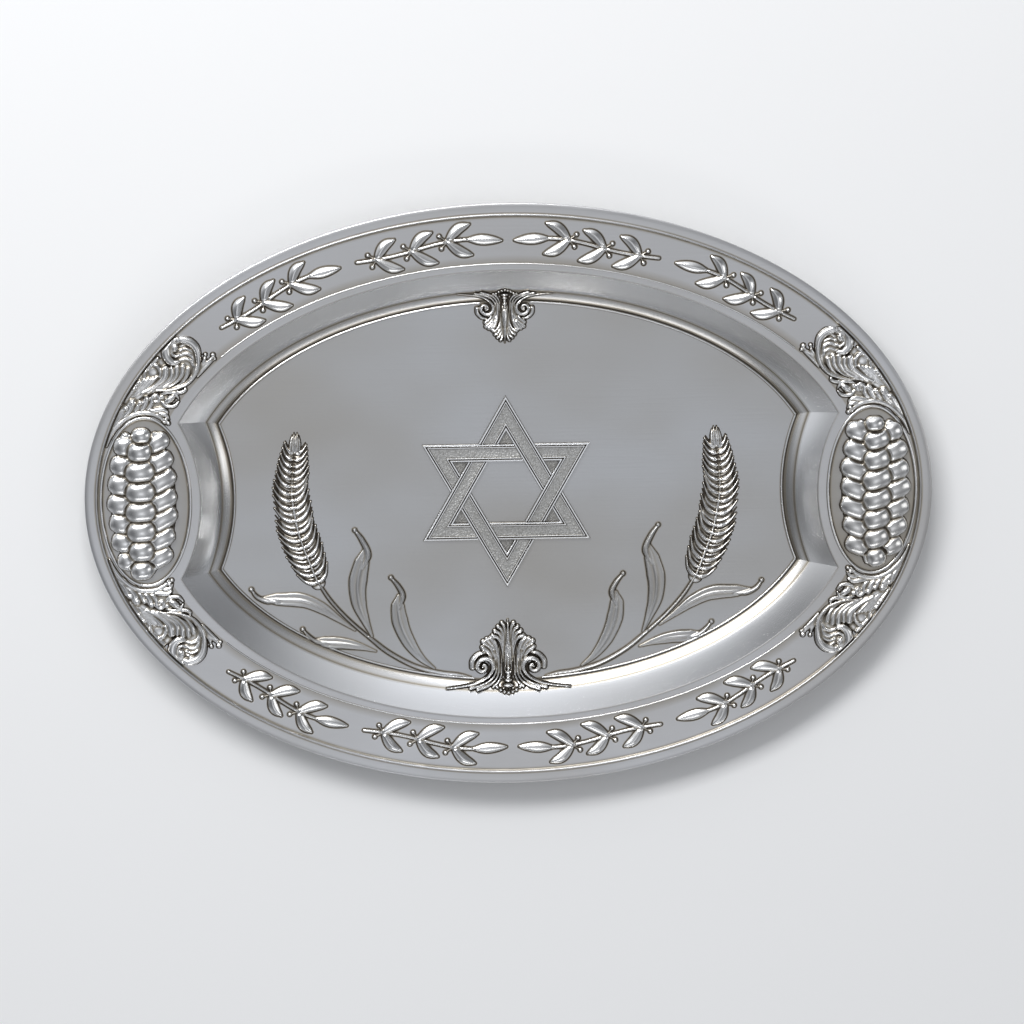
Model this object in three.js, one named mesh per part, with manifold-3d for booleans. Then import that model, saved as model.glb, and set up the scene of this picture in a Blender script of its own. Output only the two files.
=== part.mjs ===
// Oval silver bread plate: a raised sheet with a deep well, a soldered border and applied ornament.
// Millimetres, +Z up. The origin is the middle of the flat underside. +X runs along the length.

import * as THREE from 'three';
import { mergeVertices } from 'three/addons/utils/BufferGeometryUtils.js';
import Module from 'manifold-3d';

const wasm = await Module();
wasm.setup();

// Plate and sheet
const plateLength = 460;
const plateWidth = 318;
const sheetThickness = 1;
const wellDepth = 15.5;

// Rim: from the plate's edge in to the top edge of the well's wall
const rimAlongLength = 39.5;
const rimAlongWidth = 36.5;
const rimAtEnds = 62.6;

// Well wall and the coved ledge at its foot
const wallAlongLength = 13.8;
const wallAlongWidth = 12.2;
const wallAtEnds = 11.3;
const ledgeAlongLength = 5.7;
const ledgeAlongWidth = 5.3;
const ledgeAtEnds = 5.8;
const ledgeRise = 3.2;
const wallCurve = 1.25;
const ledgeCurve = 1.5;
const cornerHalfSpan = 42.5;
const cornerStep = 1.2;

// Border, raised lines and clearances
const borderWidth = 5.8;
const borderThickness = 0.8;
const borderBeadWidth = 1.8;
const borderBeadRise = 0.7;
const sheetEdgeInset = 0.4;
const rimLineInset = 32.8;
const rimLineWidth = 0.9;
const rimLineHeight = 0.54;
const floorWireWidth = 1.3;
const floorWireHeight = 0.9;
const seatGap = 0.3;

// Oval medallions with a braided loaf in each
const medallionLength = 94;
const medallionWidth = 50;
const medallionFrameWidth = 1.7;
const medallionFrameHeight = 1.2;
const loafLength = 80;
const loafWidth = 37;
const loafHeight = 8;
const loafRows = 7;
const loafLobeLength = 12.4;
const loafLobePitch = 10.4;

// Six-pointed star of two woven triangles
const ornamentCentre = -1.4;
const starRadius = 53;
const starBand = 8.4;
const starBorder = 1.4;
const starThickness = 2;
const starPocketDepth = 0.6;
const starGap = 0.15;
const starCrossingShare = 1.15;

// Wheat
const wheatPairs = 17;
const wheatEarWidth = 22;
const wheatGrainHeight = 2.4;
const wheatGrainSweep = 7;
const wheatStemWidth = 2;
const wheatStemHeight = 1.4;
const wheatLeafWidth = 11;
const wheatLeafHeight = 1.8;

// Corner scrolls, palmettes and rim sprigs
const scrollRelief = 2.6;
const scrollBandWidth = 4.2;
const scrollCollarWidth = 3.6;
const scrollTipInset = 20;
const scrollCollarFrom = 64;
const scrollCollarTo = 142;
const palmetteTopWidth = 32;
const palmetteTopReach = 28.4;
const palmetteTopRelief = 2;
const palmetteBottomWidth = 42;
const palmetteBottomReach = 39.5;
const palmetteBottomRelief = 2.6;
const palmetteBaseDrop = 1;
const palmettePearlDrop = 0.6;
const sprigRelief = 1.3;
const sprigLeafLength = 10.5;
const sprigLeafWidth = 4.6;
const sprigStemWidth = 1.9;
const sprigWave = 1.6;
const sprigsPerSide = 4;
const sprigSpaceDegrees = 3.6;
const sprigMarginDegrees = 2.4;
const scrollDegrees = 18.6;

// Points around each ring of the body, round each medallion and along each raised line
const endSteps = 8;
const longSteps = 28;
const ovalSteps = 26;
const rimLineSteps = 20;
const longWireSteps = 12;
const endWireSteps = 8;

const floorTop = sheetThickness;
const rimTop = sheetThickness + wellDepth;
const slopeDrop = sheetThickness * 0.75;
const cornerOutset = sheetThickness * 0.4;
const halfLength = plateLength / 2;
const halfWidth = plateWidth / 2;
const borderInner = borderWidth + borderBeadWidth;

const finishes = {
  satin: { color: 0xb9b9b6, roughness: 0.36, metalness: 1 },
  polished: { color: 0xd2d2cf, roughness: 0.18, metalness: 1 },
  matted: { color: 0xa5a398, roughness: 0.6, metalness: 1 },
};

// Plan curves of the well: step 0 is the wall's top edge, 1 its foot, 2 the floor's edge
function wellSizes(step) {
  const wall = Math.min(step, 1);
  const ledge = Math.max(step - 1, 0);
  return {
    a: halfLength - rimAlongLength - wallAlongLength * wall - ledgeAlongLength * ledge,
    b: halfWidth - rimAlongWidth - wallAlongWidth * wall - ledgeAlongWidth * ledge,
    end: halfLength - rimAtEnds - wallAtEnds * wall - ledgeAtEnds * ledge,
    corner: cornerHalfSpan - cornerStep * step,
  };
}

function endArc(size, y) {
  const cornerX = size.a * Math.sqrt(1 - (size.corner / size.b) ** 2);
  const bulge = cornerX - size.end;
  const radius = (bulge ** 2 + size.corner ** 2) / (2 * bulge);
  return size.end + radius - Math.sqrt(radius ** 2 - y ** 2);
}

// One ring with its points spaced alike on every level, so that rings join in straight strips
function ringPoints(endPoint, longPoint, z) {
  const ring = [];
  for (let i = 0; i < endSteps; i += 1) {
    const [x, y] = endPoint(-1 + (2 * i) / endSteps);
    ring.push(new THREE.Vector3(x, y, z));
  }
  for (let i = 0; i < longSteps; i += 1) {
    const [x, y] = longPoint(i / longSteps);
    ring.push(new THREE.Vector3(x, y, z));
  }
  return ring.concat(ring.map((p) => new THREE.Vector3(-p.x, -p.y, z)));
}

function wellRing(step, z, outward = 0) {
  const size = wellSizes(step);
  size.a += outward;
  size.b += outward;
  size.end += outward;
  const first = Math.asin(size.corner / size.b);
  return ringPoints(
    (t) => [endArc(size, t * size.corner), t * size.corner],
    (t) => {
      const angle = first + (Math.PI - 2 * first) * t;
      return [size.a * Math.cos(angle), size.b * Math.sin(angle)];
    },
    z,
  );
}

function rimRing(inset, z) {
  const a = halfLength - inset;
  const b = halfWidth - inset;
  const first = Math.asin(cornerHalfSpan / b);
  const at = (angle) => [a * Math.cos(angle), b * Math.sin(angle)];
  return ringPoints((t) => at(first * t), (t) => at(first + (Math.PI - 2 * first) * t), z);
}

function rimPoint(degrees, inset) {
  const angle = THREE.MathUtils.degToRad(degrees);
  return [(halfLength - inset) * Math.cos(angle), (halfWidth - inset) * Math.sin(angle)];
}

// Height of the well's upper surface at a step, coved towards the foot of each slope
function wellHeight(step) {
  const foot = floorTop + ledgeRise;
  if (step <= 1) {
    return foot + (rimTop - foot) * (1 - step) ** wallCurve;
  }
  return floorTop + ledgeRise * Math.max(2 - step, 0) ** ledgeCurve;
}

// Height of the ledge or floor under a point near the short axis
function seatHeight(x, y) {
  const floorEdge = wellSizes(2);
  const foot = wellSizes(1);
  const edgeY = floorEdge.b * Math.sqrt(1 - (x / floorEdge.a) ** 2);
  const footY = foot.b * Math.sqrt(1 - (x / foot.a) ** 2);
  const share = THREE.MathUtils.clamp((Math.abs(y) - edgeY) / (footY - edgeY), 0, 1);
  return wellHeight(2 - share);
}

// Closed geometry from points and triangles, turned so that its faces point out
function closedGeometry(points, triangles) {
  const position = new Float32Array(points.flatMap((p) => [p.x, p.y, p.z]));
  const cross = new THREE.Vector3();
  let volume = 0;
  for (const [a, b, c] of triangles) {
    volume += cross.crossVectors(points[b], points[c]).dot(points[a]);
  }
  const index = triangles.flatMap(([a, b, c]) => (volume > 0 ? [a, b, c] : [a, c, b]));
  const geometry = new THREE.BufferGeometry();
  geometry.setAttribute('position', new THREE.BufferAttribute(position, 3));
  geometry.setIndex(index);
  geometry.computeVertexNormals();
  return geometry;
}

function strips(rings, closed) {
  const count = rings[0].length;
  const last = closed ? rings.length : rings.length - 1;
  const triangles = [];
  for (let r = 0; r < last; r += 1) {
    const here = r * count;
    const next = ((r + 1) % rings.length) * count;
    for (let i = 0; i < count; i += 1) {
      const j = (i + 1) % count;
      triangles.push([here + i, here + j, next + j], [here + i, next + j, next + i]);
    }
  }
  return triangles;
}

// Skin over rings, each end closed by a fan on a middle point
function loft(rings) {
  const count = rings[0].length;
  const points = rings.flat();
  const triangles = strips(rings, false);
  [0, rings.length - 1].forEach((r) => {
    const middle = new THREE.Vector3();
    rings[r].forEach((p) => middle.addScaledVector(p, 1 / count));
    const hub = points.push(middle) - 1;
    for (let i = 0; i < count; i += 1) {
      const a = r * count + i;
      const b = r * count + ((i + 1) % count);
      triangles.push(r === 0 ? [b, a, hub] : [a, b, hub]);
    }
  });
  return closedGeometry(points, triangles);
}

// Skin over small convex sections, each end closed by a fan on its first point
function sweep(sections) {
  const count = sections[0].length;
  const triangles = strips(sections, false);
  [0, sections.length - 1].forEach((r) => {
    const first = r * count;
    for (let i = 1; i < count - 1; i += 1) {
      triangles.push(r === 0 ? [first, first + i + 1, first + i] : [first, first + i, first + i + 1]);
    }
  });
  return closedGeometry(sections.flat(), triangles);
}

function hoop(sections) {
  return closedGeometry(sections.flat(), strips(sections, true));
}

function toSolid(geometry) {
  const bare = new THREE.BufferGeometry();
  bare.setAttribute('position', geometry.attributes.position);
  bare.setIndex(geometry.index);
  const merged = mergeVertices(bare, 1e-5);
  return new wasm.Manifold(new wasm.Mesh({
    numProp: 3,
    vertProperties: new Float32Array(merged.attributes.position.array),
    triVerts: new Uint32Array(merged.index.array),
  }));
}

function toGeometry(solid) {
  const mesh = solid.getMesh();
  const geometry = new THREE.BufferGeometry();
  geometry.setAttribute('position', new THREE.BufferAttribute(new Float32Array(mesh.vertProperties), 3));
  geometry.setIndex(new THREE.BufferAttribute(new Uint32Array(mesh.triVerts), 1));
  geometry.computeVertexNormals();
  return geometry;
}

function join(solids) {
  return solids.reduce((whole, solid) => whole.add(solid));
}

function largest(solid) {
  return solid.decompose().reduce((best, piece) => (piece.volume() > best.volume() ? piece : best));
}

function block(width, depth, height, x, y, z) {
  const geometry = new THREE.BoxGeometry(width, depth, height);
  geometry.translate(x, y, z);
  return toSolid(geometry);
}

// Relief modelled along a plan curve: a flat base at the seat and a rounded or ridged back
const roundBack = [[-1, 0], [-0.72, 0.72], [0, 1], [0.72, 0.72], [1, 0]];
const ridgeBack = [[-1, 0], [0, 1], [1, 0]];
const leafTaper = (t) => 0.12 + 0.88 * Math.sin(Math.PI * (0.12 + 0.83 * t)) ** 0.8;
const thornTaper = (t) => 1 - 0.82 * t;
const evenTaper = () => 1;

function relief(path, options) {
  const { width, height, seat, steps } = options;
  const { back = roundBack, taper = leafTaper, grow = 0, ground = null } = options;
  const curve = new THREE.SplineCurve(path.map(([x, y]) => new THREE.Vector2(x, y)));
  const rings = [];
  for (let i = 0; i <= steps; i += 1) {
    const t = i / steps;
    const at = curve.getPoint(t);
    const along = curve.getTangent(t);
    const half = (width / 2) * taper(t) + grow;
    const top = height * (0.35 + 0.65 * taper(t)) + grow;
    rings.push(back.map(([across, up]) => {
      const x = at.x - along.y * across * half;
      const y = at.y + along.x * across * half;
      const lift = ground && up > 0 ? ground(x, y) - seat : 0;
      return new THREE.Vector3(x, y, seat + up * top + lift);
    }));
  }
  return toSolid(sweep(rings));
}

function makeMesh(name, geometry, finish) {
  const mesh = new THREE.Mesh(geometry, new THREE.MeshStandardMaterial(finishes[finish]));
  mesh.name = name;
  return mesh;
}

// Raised sheet: floor, coved ledge, wall and rim, with its underside one sheet below
function makeBody() {
  const upper = [2, 1.5, 1, 0.67, 0.33, 0].map((step) => wellRing(step, wellHeight(step)));
  const lower = [0, 0.5, 1, 2].map((step) => {
    const onSlope = step > 0 && step < 2;
    const drop = onSlope ? slopeDrop : sheetThickness;
    return wellRing(step, wellHeight(step) - drop, onSlope ? slopeDrop : cornerOutset);
  });
  const rings = [
    ...upper,
    rimRing(sheetEdgeInset, rimTop),
    rimRing(sheetEdgeInset, rimTop - sheetThickness),
    ...lower,
  ];
  return makeMesh('plate_body', loft(rings), 'satin');
}

// Polished border with a raised line along its inner edge
function borderProfile() {
  const top = rimTop + borderThickness;
  return [
    [sheetEdgeInset, rimTop],
    [0, rimTop + borderThickness * 0.6],
    [sheetEdgeInset, top],
    [borderWidth, top],
    [borderWidth + borderBeadWidth * 0.5, top + borderBeadRise],
    [borderInner, rimTop],
  ];
}

function makeBorder() {
  const rings = borderProfile().map(([inset, z]) => rimRing(inset, z));
  return makeMesh('rim_border', hoop(rings), 'polished');
}

function borderClearance() {
  const inner = borderInner + seatGap;
  const below = rimTop - sheetThickness;
  const above = rimTop + wellDepth;
  const corners = [[-inner, below], [-inner, above], [inner, above], [inner, below]];
  return toSolid(hoop(corners.map(([inset, z]) => rimRing(inset, z))));
}

// Everything under the well's upper surface, to seat ornament on the ledge
function wellClearance() {
  const slope = [0, 0.33, 0.67, 1, 1.5, 2];
  const rings = [
    wellRing(0, -wellDepth),
    ...slope.map((step) => wellRing(step, wellHeight(step) + seatGap)),
    wellRing(2 + seatGap / ledgeAlongWidth, floorTop),
  ];
  return toSolid(loft(rings));
}

// Raised line on the rim between the corner scrolls
function rimLinePath(side, firstAngle) {
  const path = [];
  for (let i = 0; i <= rimLineSteps; i += 1) {
    const degrees = firstAngle + ((180 - 2 * firstAngle) * i) / rimLineSteps;
    const [x, y] = rimPoint(degrees, rimLineInset);
    path.push([x, side * y]);
  }
  return path;
}

function makeRimLines(firstAngle) {
  return [['top', 1], ['bottom', -1]].map(([name, side]) => {
    const line = relief(rimLinePath(side, firstAngle), {
      width: rimLineWidth,
      height: rimLineHeight,
      seat: rimTop,
      steps: rimLineSteps,
      back: ridgeBack,
      taper: evenTaper,
    });
    return makeMesh(`rim_line_${name}`, toGeometry(line), 'polished');
  });
}

// Wires at the floor's edge: one across each end, and four from the corners to the palmettes
const wireStep = 2 + (seatGap + floorWireWidth / 2) / ledgeAlongWidth;

function wireOptions(steps, grow = 0) {
  const section = { width: floorWireWidth, height: floorWireHeight, back: ridgeBack, taper: evenTaper };
  return { ...section, seat: floorTop, steps, grow };
}

function longWirePath(sideX, sideY, reach) {
  const size = wellSizes(wireStep);
  const first = Math.asin((size.corner + floorWireWidth / 2) / size.b);
  const last = Math.acos((reach + sideX * ornamentCentre) / size.a);
  const path = [];
  for (let i = 0; i <= longWireSteps; i += 1) {
    const angle = first + ((last - first) * i) / longWireSteps;
    path.push([sideX * size.a * Math.cos(angle), sideY * size.b * Math.sin(angle)]);
  }
  return path;
}

function endWirePath(sideX) {
  const size = wellSizes(wireStep);
  const reach = size.corner - floorWireWidth / 2 - seatGap;
  return [-1, -0.6, -0.2, 0.2, 0.6, 1].map((t) => [sideX * endArc(size, t * reach), t * reach]);
}

function floorWires() {
  const wires = [];
  [['left', -1], ['right', 1]].forEach(([nameX, sideX]) => {
    wires.push({ name: `floor_wire_${nameX}`, path: endWirePath(sideX), steps: endWireSteps });
    [['top', 1, palmetteTopWidth], ['bottom', -1, palmetteBottomWidth]].forEach(([nameY, sideY, width]) => {
      const path = longWirePath(sideX, sideY, width / 2 + floorWireWidth);
      wires.push({ name: `floor_wire_${nameY}_${nameX}`, path, steps: longWireSteps });
    });
  });
  return wires;
}

// Medallion frame and the braided loaf in it
function medallionX(side) {
  return side * (halfLength - borderInner - seatGap - medallionWidth / 2);
}

function ovalRing(x, halfX, halfY, z) {
  const ring = [];
  for (let i = 0; i < ovalSteps; i += 1) {
    const angle = (2 * Math.PI * i) / ovalSteps;
    ring.push(new THREE.Vector3(x + halfX * Math.cos(angle), halfY * Math.sin(angle), z));
  }
  return ring;
}

function makeMedallionFrame(name, side) {
  const x = medallionX(side);
  const profile = [[0, 0], [0.3, 1], [0.7, 1], [1, 0]];
  const rings = profile.map(([across, up]) => {
    const inset = across * medallionFrameWidth;
    const z = rimTop + up * medallionFrameHeight;
    return ovalRing(x, medallionWidth / 2 - inset, medallionLength / 2 - inset, z);
  });
  return makeMesh(name, hoop(rings), 'polished');
}

function medallionClearance(side) {
  const x = medallionX(side);
  const rings = [rimTop - 1, rimTop + wellDepth].map((z) => (
    ovalRing(x, medallionWidth / 2 + seatGap, medallionLength / 2 + seatGap, z)));
  return toSolid(loft(rings));
}

function lump(width, length, height, x, y, tilt) {
  const geometry = new THREE.SphereGeometry(1, 7, 4);
  geometry.scale(width / 2, length / 2, height);
  geometry.rotateZ(tilt);
  geometry.translate(x, y, rimTop);
  return toSolid(geometry);
}

// Strands of each braid, in shares of the loaf's width and length: two flanks tucked under the middle one
const loafStrands = {
  braided_loaf_left: [
    { offset: -0.31, width: 0.4, lean: -0.14, top: 0.38, bow: 0.3, swell: 0.84 },
    { offset: 0.25, width: 0.5, lean: 0.52, top: 0.4, bow: 0.26, swell: 0.84 },
    { offset: -0.04, width: 0.46, lean: 0.05, top: 0.35, bow: 0, swell: 1 },
  ],
  braided_loaf_right: [
    { offset: 0.31, width: 0.46, lean: 0.36, top: 0.39, bow: 0.3, swell: 0.84 },
    { offset: -0.25, width: 0.47, lean: -0.44, top: 0.4, bow: 0.18, swell: 0.84 },
    { offset: 0.04, width: 0.45, lean: 0.34, top: 0.35, bow: 0, swell: 1 },
  ],
};
const loafCrown = { width: 0.86, length: 0.94, height: 0.62 };
const loafKnob = { width: 0.28, length: 0.11, height: 0.72, place: 0.45 };
const loafNarrowing = 0.28;

// Lobes of one strand, smaller and closer to the axis towards the loaf's ends
function strandLumps(strand, x) {
  const lumps = [];
  for (let row = 0; row < loafRows; row += 1) {
    const y = loafLength * strand.top - loafLobePitch * row;
    const far = (2 * y / loafLength) ** 2;
    const full = 1 - loafNarrowing * far;
    const reach = loafWidth * strand.offset * (1 - strand.bow * far);
    const width = loafWidth * strand.width * full;
    lumps.push(lump(width, loafLobeLength, loafHeight * strand.swell, x + reach, y, strand.lean));
  }
  return lumps;
}

function loafPart(share, x, place) {
  return lump(
    loafWidth * share.width,
    loafLength * share.length,
    loafHeight * share.height,
    x,
    loafLength * place,
    0,
  );
}

function makeLoaf(name, side) {
  const x = medallionX(side);
  const lumps = [
    loafPart(loafCrown, x, 0),
    loafPart(loafKnob, x, loafKnob.place),
    loafPart(loafKnob, x, -loafKnob.place),
    ...loafStrands[name].flatMap((strand) => strandLumps(strand, x)),
  ];
  const under = block(loafWidth * 2, loafLength * 2, loafHeight * 2, x, 0, rimTop - loafHeight);
  return makeMesh(name, toGeometry(join(lumps).subtract(under)), 'polished');
}

// Star: two triangular bands with raised borders, halved into each other where they cross
function triangle(radius, turn) {
  return [0, 1, 2].map((i) => {
    const angle = turn + (2 * Math.PI * i) / 3;
    return new THREE.Vector2(radius * Math.cos(angle), radius * Math.sin(angle));
  });
}

function triangleBand(outer, inner, turn, bottom, height) {
  const shape = new THREE.Shape(triangle(outer, turn));
  shape.holes.push(new THREE.Path(triangle(inner, turn)));
  const geometry = new THREE.ExtrudeGeometry(shape, { depth: height, bevelEnabled: false });
  geometry.translate(ornamentCentre, 0, bottom);
  return toSolid(geometry);
}

function crossingZone(angle, bottom, height) {
  const centreLine = starRadius - starBand;
  const radius = starBand * starCrossingShare;
  const geometry = new THREE.CylinderGeometry(radius, radius, height, 12);
  geometry.rotateX(Math.PI / 2);
  geometry.translate(
    ornamentCentre + (centreLine / Math.sqrt(3)) * Math.cos(angle),
    (centreLine / Math.sqrt(3)) * Math.sin(angle),
    bottom + height / 2,
  );
  return toSolid(geometry);
}

function makeTriangle(name, turn, overAngles, underAngles) {
  const inner = starRadius - 2 * starBand;
  const border = 2 * starBorder;
  const otherTurn = turn + Math.PI;
  const half = starThickness / 2;
  let band = triangleBand(starRadius, inner, turn, floorTop, starThickness);
  const pocketBottom = floorTop + starThickness - starPocketDepth;
  band = band.subtract(triangleBand(starRadius - border, inner + border, turn, pocketBottom, starThickness));
  const gap = 2 * starGap;
  const other = triangleBand(starRadius + gap, inner - gap, otherTurn, floorTop - half, starThickness * 2);
  const upper = underAngles.map((angle) => crossingZone(angle, floorTop + half, starThickness));
  const lower = overAngles.map((angle) => crossingZone(angle, floorTop - half, starThickness));
  band = band.subtract(join([...upper, ...lower]).intersect(other));
  return makeMesh(name, toGeometry(band), 'matted');
}

function makeStar() {
  const sixth = Math.PI / 3;
  const upOver = [1, 3, 5].map((i) => i * sixth);
  const downOver = [0, 2, 4].map((i) => i * sixth);
  return [
    makeTriangle('star_triangle_up', Math.PI / 2, upOver, downOver),
    makeTriangle('star_triangle_down', -Math.PI / 2, downOver, upOver),
  ];
}

// Wheat spray, drawn for the right side in percent of the floor's half length and half width
const wheatAxis = [[68.9, -46.1], [73.9, -27.3], [77.4, -6.4], [78, 5.7], [77.1, 17.1], [76.4, 27.6]];
const wheatStemPath = [[68.8, -46.7], [64.5, -55.6], [58.3, -65.6], [50.9, -75.2], [43.4, -83.9],
  [34.1, -91.3], [24.2, -95.5], [16.3, -96.4]];
const wheatLeaves = [
  {
    name: 'upright',
    share: 1,
    path: [[55, -19.6], [51.9, -27.6], [53, -37.1], [54.4, -47.6], [53.9, -57.6], [51.9, -66.7],
      [49.6, -74.7]],
  },
  {
    name: 'inner',
    share: 0.86,
    path: [[42.2, -44.7], [38.9, -52.4], [39.9, -60.5], [39, -69.5], [35.9, -78.7], [31.7, -86.7],
      [26.9, -92.6]],
  },
  {
    name: 'outer',
    share: 0.77,
    path: [[92.8, -49.3], [89.2, -53.7], [82.6, -54.7], [74.5, -55.2], [67.7, -59.5], [61.9, -65.1],
      [55.9, -71.8]],
  },
  {
    name: 'low',
    share: 0.68,
    path: [[74.5, -70.9], [70.2, -75.8], [65.9, -77.7], [59.6, -78.5], [53.4, -80.4], [48.3, -83.2]],
  },
];

function placed(path, side) {
  const floor = wellSizes(2);
  return path.map(([across, up]) => [
    ornamentCentre + (side * floor.end * across) / 100,
    (floor.b * up) / 100,
  ]);
}

function wheatStem(side, grow = 0) {
  const section = { width: wheatStemWidth, height: wheatStemHeight, back: ridgeBack, taper: evenTaper };
  return relief(placed(wheatStemPath, side), { ...section, seat: floorTop, steps: 12, grow });
}

// Pairs of grains in chevrons up both sides of the axis: a raised row, then the notch above it
function wheatEar(side) {
  const axis = new THREE.SplineCurve(placed(wheatAxis, side).map(([x, y]) => new THREE.Vector2(x, y)));
  const section = [[-1, 0], [-0.62, 0.95], [0, 0.5], [0.62, 0.95], [1, 0], [0, 0]];
  const rings = [];
  for (let i = 0; i <= 2 * wheatPairs; i += 1) {
    const t = i / (2 * wheatPairs);
    const at = axis.getPoint(t);
    const along = axis.getTangent(t);
    const grain = i % 2 === 1;
    const fullness = 0.28 + 0.22 * Math.sin(Math.PI * Math.min(0.3 + t, 1));
    const spread = wheatEarWidth * fullness * (grain ? 1 : 0.74);
    const height = wheatGrainHeight * (grain ? 1 : 0.5);
    rings.push(section.map(([out, up]) => {
      const shift = wheatGrainSweep * Math.abs(out);
      return new THREE.Vector3(
        at.x - along.y * out * spread + along.x * shift,
        at.y + along.x * out * spread + along.y * shift,
        floorTop + up * height,
      );
    }));
  }
  return toSolid(loft(rings));
}

function makeWheat(nameX, side, taken) {
  const stem = largest(wheatStem(side).subtract(taken));
  const ear = largest(wheatEar(side).subtract(wheatStem(side, seatGap)));
  const stemClearance = wheatStem(side, seatGap);
  const leaves = wheatLeaves.map((leaf) => {
    const solid = relief(placed(leaf.path, side), {
      width: wheatLeafWidth * leaf.share,
      height: wheatLeafHeight,
      seat: floorTop,
      steps: 8,
      back: ridgeBack,
    });
    const seated = largest(solid.subtract(stemClearance).subtract(taken));
    return makeMesh(`wheat_leaf_${leaf.name}_${nameX}`, toGeometry(seated), 'satin');
  });
  return [
    makeMesh(`wheat_stem_${nameX}`, toGeometry(stem), 'satin'),
    makeMesh(`wheat_ear_${nameX}`, toGeometry(ear), 'polished'),
    ...leaves,
  ];
}

// Palmette, drawn in percent of its half width, and of its reach in from the wall's foot
const palmetteArm = [[161.9, 6.1], [109.5, 6.8], [65.2, 14.9], [43.8, 25.6], [44.3, 38], [61.9, 47.1],
  [81, 42.5], [84.8, 32.7], [72.9, 25.8], [58.1, 28.6]];
const palmetteLobes = [
  { path: [[29.5, 22.8], [42.9, 45.6], [66.7, 69.9]], width: 22 },
  { path: [[21.9, 25.3], [31, 50.6], [49.5, 72.9]], width: 19 },
  { path: [[16.2, 25.3], [21.9, 55.7], [41, 79]], width: 21 },
  { path: [[7.6, 30.4], [11.4, 65.8], [22.9, 90.1]], width: 18 },
  { path: [[40, 32.9], [52.4, 52.2], [79, 54.2], [92.4, 43]], width: 16 },
];
const palmettePearls = [[0, 4.8], [11.9, 5.3], [22.9, 7.1], [32.9, 10.6]];
const palmetteEye = [[71, 36.5], [62.9, 36.5]];
const palmetteRib = [[0, 15.2], [0, 55.7], [0, 100]];
const palmetteBud = [[0, 4.1], [0, 20.3], [0, 32.9]];
const palmetteShares = { rib: 0.33, bud: 0.45, arm: 0.17, eye: 0.3, pearlTop: 0.033, pearlFoot: 0.07 };

function palmette(size, seatSolid, wires) {
  const footY = wellSizes(1).b;
  const half = size.width / 2;
  const place = (hand) => ([across, inward]) => [
    ornamentCentre + (hand * half * across) / 100,
    size.side * (footY - (size.reach * inward) / 100),
  ];
  const shared = { seat: floorTop - palmetteBaseDrop, ground: seatHeight };
  const height = size.height + palmetteBaseDrop;
  const narrow = (t) => (t < 0.2 ? 0.25 + 3.2 * t : 1 - 0.45 * (t - 0.2));
  const pieces = [relief(palmetteRib.map(place(1)), {
    ...shared, width: half * palmetteShares.rib, height: height * 1.15, steps: 5, back: ridgeBack,
  }), relief(palmetteBud.map(place(1)), {
    ...shared, width: half * palmetteShares.bud, height: height * 1.25, steps: 3, taper: thornTaper,
  })];
  [-1, 1].forEach((hand) => {
    pieces.push(relief(palmetteArm.map(place(hand)), {
      ...shared, width: half * palmetteShares.arm, height, steps: 10, back: ridgeBack, taper: narrow,
    }));
    pieces.push(relief(palmetteEye.map(place(hand)), {
      ...shared, width: half * palmetteShares.eye, height: height * 0.8, steps: 1, taper: evenTaper,
    }));
    palmetteLobes.forEach((lobe) => {
      pieces.push(relief(lobe.path.map(place(hand)), {
        ...shared, width: (half * lobe.width) / 100, height, steps: 2, back: ridgeBack,
      }));
    });
  });
  palmettePearls.forEach((pearl) => {
    (pearl[0] === 0 ? [1] : [-1, 1]).forEach((hand) => {
      const [x, y] = place(hand)(pearl);
      const { pearlTop, pearlFoot } = palmetteShares;
      const dome = new THREE.CylinderGeometry(half * pearlTop, half * pearlFoot, height, 5);
      dome.rotateX(Math.PI / 2);
      dome.translate(x, y, seatHeight(x, y) + height / 2 - palmettePearlDrop);
      pieces.push(toSolid(dome));
    });
  });
  return largest(wires.reduce((solid, wire) => solid.subtract(wire), join(pieces).subtract(seatSolid)));
}

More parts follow.
